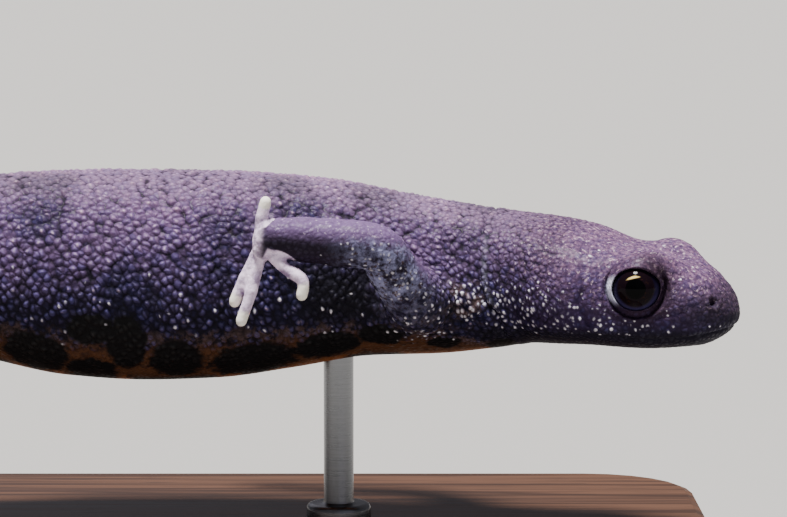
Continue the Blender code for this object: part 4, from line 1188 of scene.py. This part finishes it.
def store_masks(mesh, found, look):
    """Keeps on each point where it lies and what kind of skin it bears, for the relief and the material."""
    points = points_of(mesh)
    s, side, height = spine_places(points)
    limb, digit, lift = leg_masks(points, found)
    level = np.clip(level_of(s, height), -1.4, 1.4)
    back, _, up = head_places(points).T
    eye_gap, rim, lid = eye_masks(points, look)
    head, tail = ease(s, 20, 13), ease(s, 76, 88)
    body_only = 1 - np.maximum(limb, digit)

    # The granules' height: coarse on the body, fine on the head and the legs, none on fins, digits and lids
    fin = ease(np.abs(level), 1.05, 1.2) * ease(s, 74, 80)
    calm = ease(eye_gap, 2.2, 3.2)
    belly_edge = straight(BELLY_EDGE, s)
    belly = ease(level, belly_edge + 0.25, belly_edge - 0.3) * body_only * ease(s, 16, 19)
    coarse = look.granule_height * (0.4 + 0.6 * ease(s, 14, 26)) * ease(s, 9, 14) * body_only
    coarse *= (1 - 0.7 * tail) * ease(level, -0.95, -0.6) * (1 - fin)
    fine = look.fine_granule_height * calm * ease(coarse, 0.05, 0.0) * (1 - digit) * (1 - fin)
    fine *= 1 - 0.6 * belly

    # White stipples: how thickly they lie on the lips, neck, shoulder, breast, arm, flank and crown
    lips = between(up, -3.5, -2.9, -1.4, -0.7) * ease(s, 14, 10) * (0.15 + 0.85 * ease(back, 4.5, 7.5))
    before_eye = between(back, 3.2, 4.2, 7.2, 8.2) * between(up, -2.3, -1.7, -0.6, -0.1)
    lips = np.maximum(lips, 0.5 * before_eye)
    neck = between(s, 9, 12, 18.5, 20) * between(level, -0.75, -0.4, 0.0, 0.35)
    shoulder = bell(s - 25, 4.5) * between(level, -0.75, -0.5, -0.05, 0.3)
    low_arm = limb * ease(s, 34, 29) * ease(lift, 0.55, 0.0)
    flank = 0.13 * between(level, -0.62, -0.5, -0.2, 0.4) * ease(s, 20, 26) * (1 - tail)
    crown = 0.06 * head * ease(level, 0.3, 0.6)
    breast = 1.6 * bell(s - 21.0, 1.7) * bell(level + 0.12, 0.28)
    stipple = np.max([0.7 * lips, neck, 0.6 * shoulder, 0.6 * low_arm, breast, flank, crown], 0)
    stipple *= (1 - ease(digit, 0.02, 0.1)) * calm
    brown_shoulder, brown_arm = 0.6 * shoulder * ease(level, 0.1, -0.2), 0.85 * low_arm * ease(s, 34.5, 27)
    warm = np.max([np.minimum(breast, 0.9), brown_shoulder, brown_arm], 0)

    # Painted shade: low on the flank, where it is partly also darker skin, a painted shadow under the arm,
    # and painted shade between the ribs, under the jaw and on the snout; the nape is made darker too
    shade = ease(level, 0.3, -0.6) * (0.52 - 0.15 * tail)
    shade = np.maximum(shade, 0.97 * bell(s - 31.5, 4.2, 4) * bell(level + 0.12, 0.42, 4)) * ease(s, 15, 25)
    swayed = s + 0.1 * height + 0.3 * np.sin(0.8 * height + 0.35 * s)
    groove = ease(rib_wave(swayed), 0.2, -1.0) * between(s, *RIBBED) * ease(level, 0.65, 0.1)
    shade += (1 - shade) * 0.38 * groove
    jaw = 0.9 * ease(s, 23, 19) * ease(up, -2.1, -3.5)
    shade = np.max([
        np.maximum(shade, jaw) * body_only,
        0.75 * ease(back, 5.2, 0.8) * ease(up, 1.2, -1.2),
        0.6 * ease(back, 2.6, 0.5) * ease(up, 2.2, 0.4),
        0.2 * between(s, 11, 14, 20, 25) * ease(level, 0.1, 0.5),
    ], 0)

    # A pale line behind the throat's fold, and the blotches of the body
    beyond = s - straight(THROAT_FOLD, level)
    rim = np.maximum(rim, 0.08 * bell(beyond + 0.4, 0.24) * between(level, -0.3, 0.0, 0.5, 1.0))
    blotch = np.where(body_only > 0.5, blotch_mask(s, side, level), -1.0)
    masks = {
        "rest": points, "granular": granule_places(s, side, height), "level": level + (lift - level) * limb,
        "limb": limb, "digit": digit, "belly": belly, "head": head, "tail": tail, "coarse": coarse,
        "fine": fine, "lid": lid, "rim": rim, "stipple": stipple, "blotch": blotch, "warm": warm,
        "shade": shade,
    }
    for name, values in masks.items():
        store(mesh, name, values)


def build_skin(look):
    """The whole skin in one piece, its granules raised."""
    skin, found = fused_flesh(look)
    cut_face(skin.data, look)
    store_masks(skin.data, found, look)
    relief = skin.modifiers.new("granular relief", "NODES")
    relief.node_group = relief_group(look)
    keep_evaluated(skin)
    skin.data.transform(Matrix.Scale(MM, 4))
    skin.data.shade_smooth()
    return skin


def build_eye(name, side, look):
    """An eyeball with its cornea, its own places stored for the iris."""
    centre, axes = eye_frame(side)
    points, faces = ball_shell((0, 0, 0), np.eye(3) * EYE_RADIUS, 72, 48)
    points[:, 2] += look.cornea_rise * np.clip(points[:, 2] / EYE_RADIUS, 0, 1) ** 4
    mesh = mesh_from([((centre + points @ axes) * MM, faces)], name)
    store(mesh, "eye_place", points)
    mesh.shade_smooth()
    return new_object(name, mesh)


def build_rod(node):
    """A turned rod with a round-edged collar, from the base to just inside the belly."""
    s = ROD_STATIONS[node]
    x, y, _ = spine_frame(s)[0]
    top = body_surface(s, -math.pi / 2)[2] + ROD_DEPTH
    foot = BASE_THICKNESS + FOOT_GAP
    edge = [(math.cos(a), math.sin(a)) for a in np.linspace(0, math.pi / 2, 7)]
    shoulder, inner = foot + COLLAR_HEIGHT - COLLAR_ROUNDING, COLLAR_RADIUS - COLLAR_ROUNDING
    profile = [(COLLAR_RADIUS - COLLAR_CHAMFER, foot), (COLLAR_RADIUS, foot + COLLAR_CHAMFER)]
    profile += [(inner + across * COLLAR_ROUNDING, shoulder + up * COLLAR_ROUNDING) for across, up in edge]
    profile += [(ROD_RADIUS + out, foot + COLLAR_HEIGHT + up) for out, up in ROD_FILLET] + [(ROD_RADIUS, top)]
    turns = np.linspace(0, 2 * math.pi, 72, endpoint=False)
    rings = [
        np.stack([x + radius * np.cos(turns), y + radius * np.sin(turns), np.full(len(turns), height)], 1)
        for radius, height in profile
    ]
    mesh = mesh_from([ring_shell(rings)], "newt_" + node)
    mesh.transform(Matrix.Scale(MM, 4))
    mesh.shade_smooth()
    rod = new_object("newt_" + node, mesh)
    sharp = rod.modifiers.new("crisp ends", "EDGE_SPLIT")
    sharp.split_angle = math.radians(SHARP_DEG)
    return keep_evaluated(rod)


def colour_property(name, code, description):
    return FloatVectorProperty(
        name=name, description=description, default=linear(code), subtype="COLOR", size=3, min=0, max=1
    )


def amount_property(name, default, description):
    return FloatProperty(name=name, description=description, default=default, min=0)


def size_property(name, default, description):
    return amount_property(name, default, description + ", in mm")


def share_property(name, default, low, high, description):
    return FloatProperty(name=name, description=description, default=default, min=low, max=high)


def count_property(name, default, description):
    return IntProperty(name=name, description=description, default=default, min=0)


class NewtSkinLooks(bpy.types.PropertyGroup):
    mesh_size: size_property("Mesh size", 0.14, "Spacing of the skin's mesh")
    soften_rounds: count_property("Soften rounds", 45, "How soft the legs' roots and the brows are")
    crease_rounds: count_property("Crease rounds", 26, "How far the seams at the legs are filled")
    granule_height: size_property("Granule height", 0.23, "Height of the trunk's granules")
    fine_spacing: size_property("Fine granule spacing", 0.4, "Distance between granules on the head and legs")
    fine_granule_height: size_property("Fine granule height", 0.035, "Height of the head's granules")
    granule_randomness: share_property("Granule randomness", 0.85, 0, 1, "How unevenly granules lie")
    furrow_share: share_property("Furrow share", 0.36, 0.01, 0.5, "Half the furrow's width over the spacing")
    granule_wander: share_property("Granule wander", 0.55, 0, 2, "How far a granule's outline strays")
    granule_reach: share_property("Granule reach", 0.96, 0.3, 1.2, "Radius of a dome over the spacing")
    bump_depth: size_property("Bump depth", 0.12, "Depth of the finest relief, drawn by the material")
    blotch_spacing: size_property("Blotch spacing", 5.2, "Distance between the belly's black blotches")
    spot_spacing: size_property("Spot spacing", 6.5, "Distance between the large dark spots of the flank")
    lid_half_width: size_property("Lid half width", 1.93, "Half the opening of the lids, along the head")
    lid_height_up: size_property("Upper lid height", 1.66, "From the eye's middle to the upper lid")
    lid_height_down: size_property("Lower lid height", 1.74, "From the eye's middle to the lower lid")
    lid_thickness: size_property("Lid thickness", 0.2, "Thickness of the lid's rim")
    brow_rise: size_property("Brow rise", 0.5, "How far the brows stand up over the eyes")
    back_colour: colour_property("Back", "6d5179", "Dusty purple brown of the back")
    flank_colour: colour_property("Flank", "160f2b", "Blue-black of the flanks")
    head_colour: colour_property("Head", "5f445f", "Purple brown of the head's top")
    cheek_colour: colour_property("Cheek", "2c1d3e", "Darker purple of the cheeks")
    lid_colour: colour_property("Lids", "1f0f1c", "Red brown round the eye")
    # The rim behind the eye is a painted highlight where the lid's edge catches the light
    rim_colour: colour_property("Eye's rim", "e4e6ff", "Pale rim behind the eye")
    spot_colour: colour_property("Spots", "110f30", "Large dark spots")
    # The granules' tops are painted paler: partly their own tint, partly painted light
    dome_colour: colour_property("Granule tops", "94759f", "Dusty top of a granule")
    rosy_dome_colour: colour_property("Rosy granule tops", "9d7790", "Brownish pink top of a granule")
    low_dome_colour: colour_property("Low granule tops", "665e9c", "Top of a granule low on the flank")
    # Also the colour of the painted glints on single granules and of the painted sheen along the back
    fleck_and_glint_colour: colour_property(
        "Flecks", "cfb4c2", "Pale flecks of the head, and the gleam on single granules"
    )
    blue_dome_colour: colour_property("Blue granules", "26265c", "A granule with a blue cast")
    # The painted shade's colour; low on the flank it is partly also the darker skin
    shade_colour: colour_property("Low flank", "080613", "Darkest skin, low on the flank and under the arm")
    # The furrows' darkness is partly their own colour and partly painted shade
    furrow_shade_colour: colour_property("Furrows", "060411", "Between the granules")
    mottle_colour: colour_property("Mottle", "53413f", "Brown mottle above the belly")
    mottle_dark: colour_property("Dark mottle", "140c12", "Dark parts of the mottle")
    # This dull orange is partly the belly side's own colour and partly painted shade
    belly_side_colour: colour_property("Belly's side", "4d2f1b", "Dull orange between the side's blotches")
    belly_colour: colour_property("Belly", "b56827", "Orange in the middle of the belly")
    blotch_colour: colour_property("Blotches", "040306", "Black blotches of the belly")
    limb_colour: colour_property("Legs", "69517a", "Lilac grey of the legs' upper sides")
    limb_blue_colour: colour_property("Legs' blue patches", "989ac4", "Blue grey patches under the upper arm")
    # The legs' undersides are painted shade in this colour, which also gives the legs' darker specks
    limb_mottle_and_shade_colour: colour_property("Legs' undersides", "190e1e", "Dark brown of the legs' undersides")
    # Also the painted glints on the forearm's upper side
    digit_and_glint_colour: colour_property("Digits", "fbe6ff", "Pale lilac of the digits")
    # The digits' darker patches: partly brown mottle, partly painted shade
    digit_shade_colour: colour_property("Digit shade", "8f7a9c", "Browner parts of the digits")
    digit_tip_colour: colour_property("Digit tips", "fff9ec", "Cream of the digits' tips")
    stipple_colour: colour_property("Stipples", "fbf6ff", "White of the small glands")


class NewtEyeLooks(bpy.types.PropertyGroup):
    cornea_rise: size_property("Cornea rise", 0.12, "How far the cornea stands proud of the eyeball")
    pupil_colour: colour_property("Pupil", "020203", "Black of the pupil")
    iris_colour: colour_property("Iris", "10080e", "Dark brown of the iris")
    iris_fleck_colour: colour_property("Iris flecks", "29170d", "Brown flecks in the iris")
    iris_ring_colour: colour_property("Iris ring", "f3d583", "Gold arc over the pupil")
    eye_edge_colour: colour_property("Eye's edge", "0e091a", "Dark violet edge under the lids")
    eye_line_colour: colour_property("Eye's line", "4c4573", "Violet line inside that edge")


class NewtStandLooks(bpy.types.PropertyGroup):
    wood_light: colour_property("Light wood", "553827", "Early wood between the growth lines")
    wood_dark: colour_property("Dark wood", "342015", "Growth lines")
    wood_pore: colour_property("Pores", "20120b", "Open pores")
    steel_light: colour_property("Light steel", "8f9092", "Crests of the turning marks")
    steel_dark: colour_property("Dark steel", "707274", "Valleys of the turning marks")


class NewtStageLooks(bpy.types.PropertyGroup):
    floor_colour: colour_property("Floor", "a3a19e", "Pale floor")
    key_strength: amount_property("Key light", 10.0, "Strength of the light above")
    key_softness: amount_property("Key softness", 14.0, "Width of the light above, in degrees")
    fill_strength: amount_property("Fill light", 0.12, "Strength of the soft lights")
    world_strength: amount_property("Surroundings", 0.15, "Strength of the pale surroundings")


class NEWT_OT_skin(bpy.types.Operator):
    """Build the skin over head, body, legs and tail"""

    bl_idname = "newt.skin"
    bl_label = "Skin"

    def execute(self, context):
        look = context.scene.newt_skin
        skin = build_skin(look)
        skin.data.materials.append(wet_granular_skin(look))
        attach(skin, "root")
        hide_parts(*FLESH)
        return {"FINISHED"}


class NEWT_OT_eyes(bpy.types.Operator):
    """Build both eyeballs with pupil, iris and cornea"""

    bl_idname = "newt.eyes"
    bl_label = "Eyes"

    def execute(self, context):
        look = context.scene.newt_eye
        material = cornea_over_iris(look)
        for word, side in SIDES.items():
            eye = build_eye(f"newt_eye_{word}", side, look)
            eye.data.materials.append(material)
            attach(eye, "root")
            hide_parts(f"eye_{word}")
        return {"FINISHED"}


class NEWT_OT_stand(bpy.types.Operator):
    """Finish the base in walnut and turn the two steel rods"""

    bl_idname = "newt.stand"
    bl_label = "Stand"

    def execute(self, context):
        look = context.scene.newt_stand
        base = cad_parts["stand_base"]
        base.data.materials.clear()
        base.data.materials.append(oiled_walnut(look))
        steel = turned_steel(look)
        for node in ROD_STATIONS:
            rod = build_rod(node)
            rod.data.materials.append(steel)
            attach(rod, "root")
            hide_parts(node)
        return {"FINISHED"}


class NEWT_OT_stage(bpy.types.Operator):
    """Lay the floor and set up the lights and the photo's camera"""

    bl_idname = "newt.stage"
    bl_label = "Studio"

    def execute(self, context):
        look = context.scene.newt_stage
        scene = context.scene
        centre = Vector(VIEW_CENTRE) * MM
        shape = bmesh.new()
        bmesh.ops.create_circle(shape, cap_ends=True, segments=64, radius=4.0)
        mesh = bpy.data.meshes.new("studio_floor")
        shape.to_mesh(mesh)
        shape.free()
        floor = new_object("studio_floor", mesh)
        mesh.materials.append(matt_floor(look))
        lamps = (
            ("key_sun", (-0.1, -0.14, 1.0), look.key_strength, look.key_softness, linear("fffdfb")),
            ("fill_sun", (0.5, -0.9, 0.35), look.fill_strength, 60.0, linear("e6e4ff")),
            ("back_sun", (-0.4, 1.0, 0.7), look.fill_strength, 40.0, linear("f4f0ff")),
        )
        for name, place, strength, softness, colour in lamps:
            light = bpy.data.lights.new(name, "SUN")
            light.energy, light.angle, light.color = strength, math.radians(softness), colour
            lamp = new_object(name, light)
            lamp.rotation_euler = Vector(place).to_track_quat("Z", "Y").to_euler()
        world = bpy.data.worlds.new("studio")
        world.use_nodes = True
        ground = world.node_tree.nodes["Background"]
        ground.inputs["Color"].default_value = (*linear("e9e6f2"), 1)
        ground.inputs["Strength"].default_value = look.world_strength
        scene.world = world
        elevation = math.radians(VIEW_ELEVATION_DEG)
        away = Vector((0, -math.cos(elevation), math.sin(elevation)))
        lens = bpy.data.cameras.new("photo_camera")
        lens.sensor_width = FILM_WIDTH
        lens.lens = FILM_WIDTH * VIEW_DISTANCE / VIEW_WIDTH
        lens.clip_start, lens.clip_end = 0.01, 20
        camera = new_object("photo_camera", lens)
        camera.location = centre + away * VIEW_DISTANCE * MM
        camera.rotation_euler = (-away).to_track_quat("-Z", "Y").to_euler()
        scene.camera = camera
        return {"FINISHED"}


OPERATORS = (NEWT_OT_skin, NEWT_OT_eyes, NEWT_OT_stand, NEWT_OT_stage)
LOOKS = {
    "newt_skin": NewtSkinLooks,
    "newt_eye": NewtEyeLooks,
    "newt_stand": NewtStandLooks,
    "newt_stage": NewtStageLooks,
}


class NEWT_PT_panel(bpy.types.Panel):
    """The steps that build the newt, and the sizes and colours they use"""

    bl_idname = "NEWT_PT_panel"
    bl_label = "Crested Newt"
    bl_space_type = "VIEW_3D"
    bl_region_type = "UI"
    bl_category = "Newt"

    def draw(self, context):
        for operator, name in zip(OPERATORS, LOOKS):
            box = self.layout.box()
            box.operator(operator.bl_idname)
            looks = getattr(context.scene, name)
            for prop in LOOKS[name].__annotations__:
                box.prop(looks, prop)


def register():
    for cls in (*LOOKS.values(), *OPERATORS, NEWT_PT_panel):
        bpy.utils.register_class(cls)
    for name, cls in LOOKS.items():
        setattr(bpy.types.Scene, name, PointerProperty(type=cls))


def unregister():
    for name in LOOKS:
        delattr(bpy.types.Scene, name)
    for cls in reversed((*LOOKS.values(), *OPERATORS, NEWT_PT_panel)):
        bpy.utils.unregister_class(cls)


def main():
    register()
    bpy.ops.newt.skin()
    bpy.ops.newt.eyes()
    bpy.ops.newt.stand()
    bpy.ops.newt.stage()


if __name__ == "__main__":
    main()
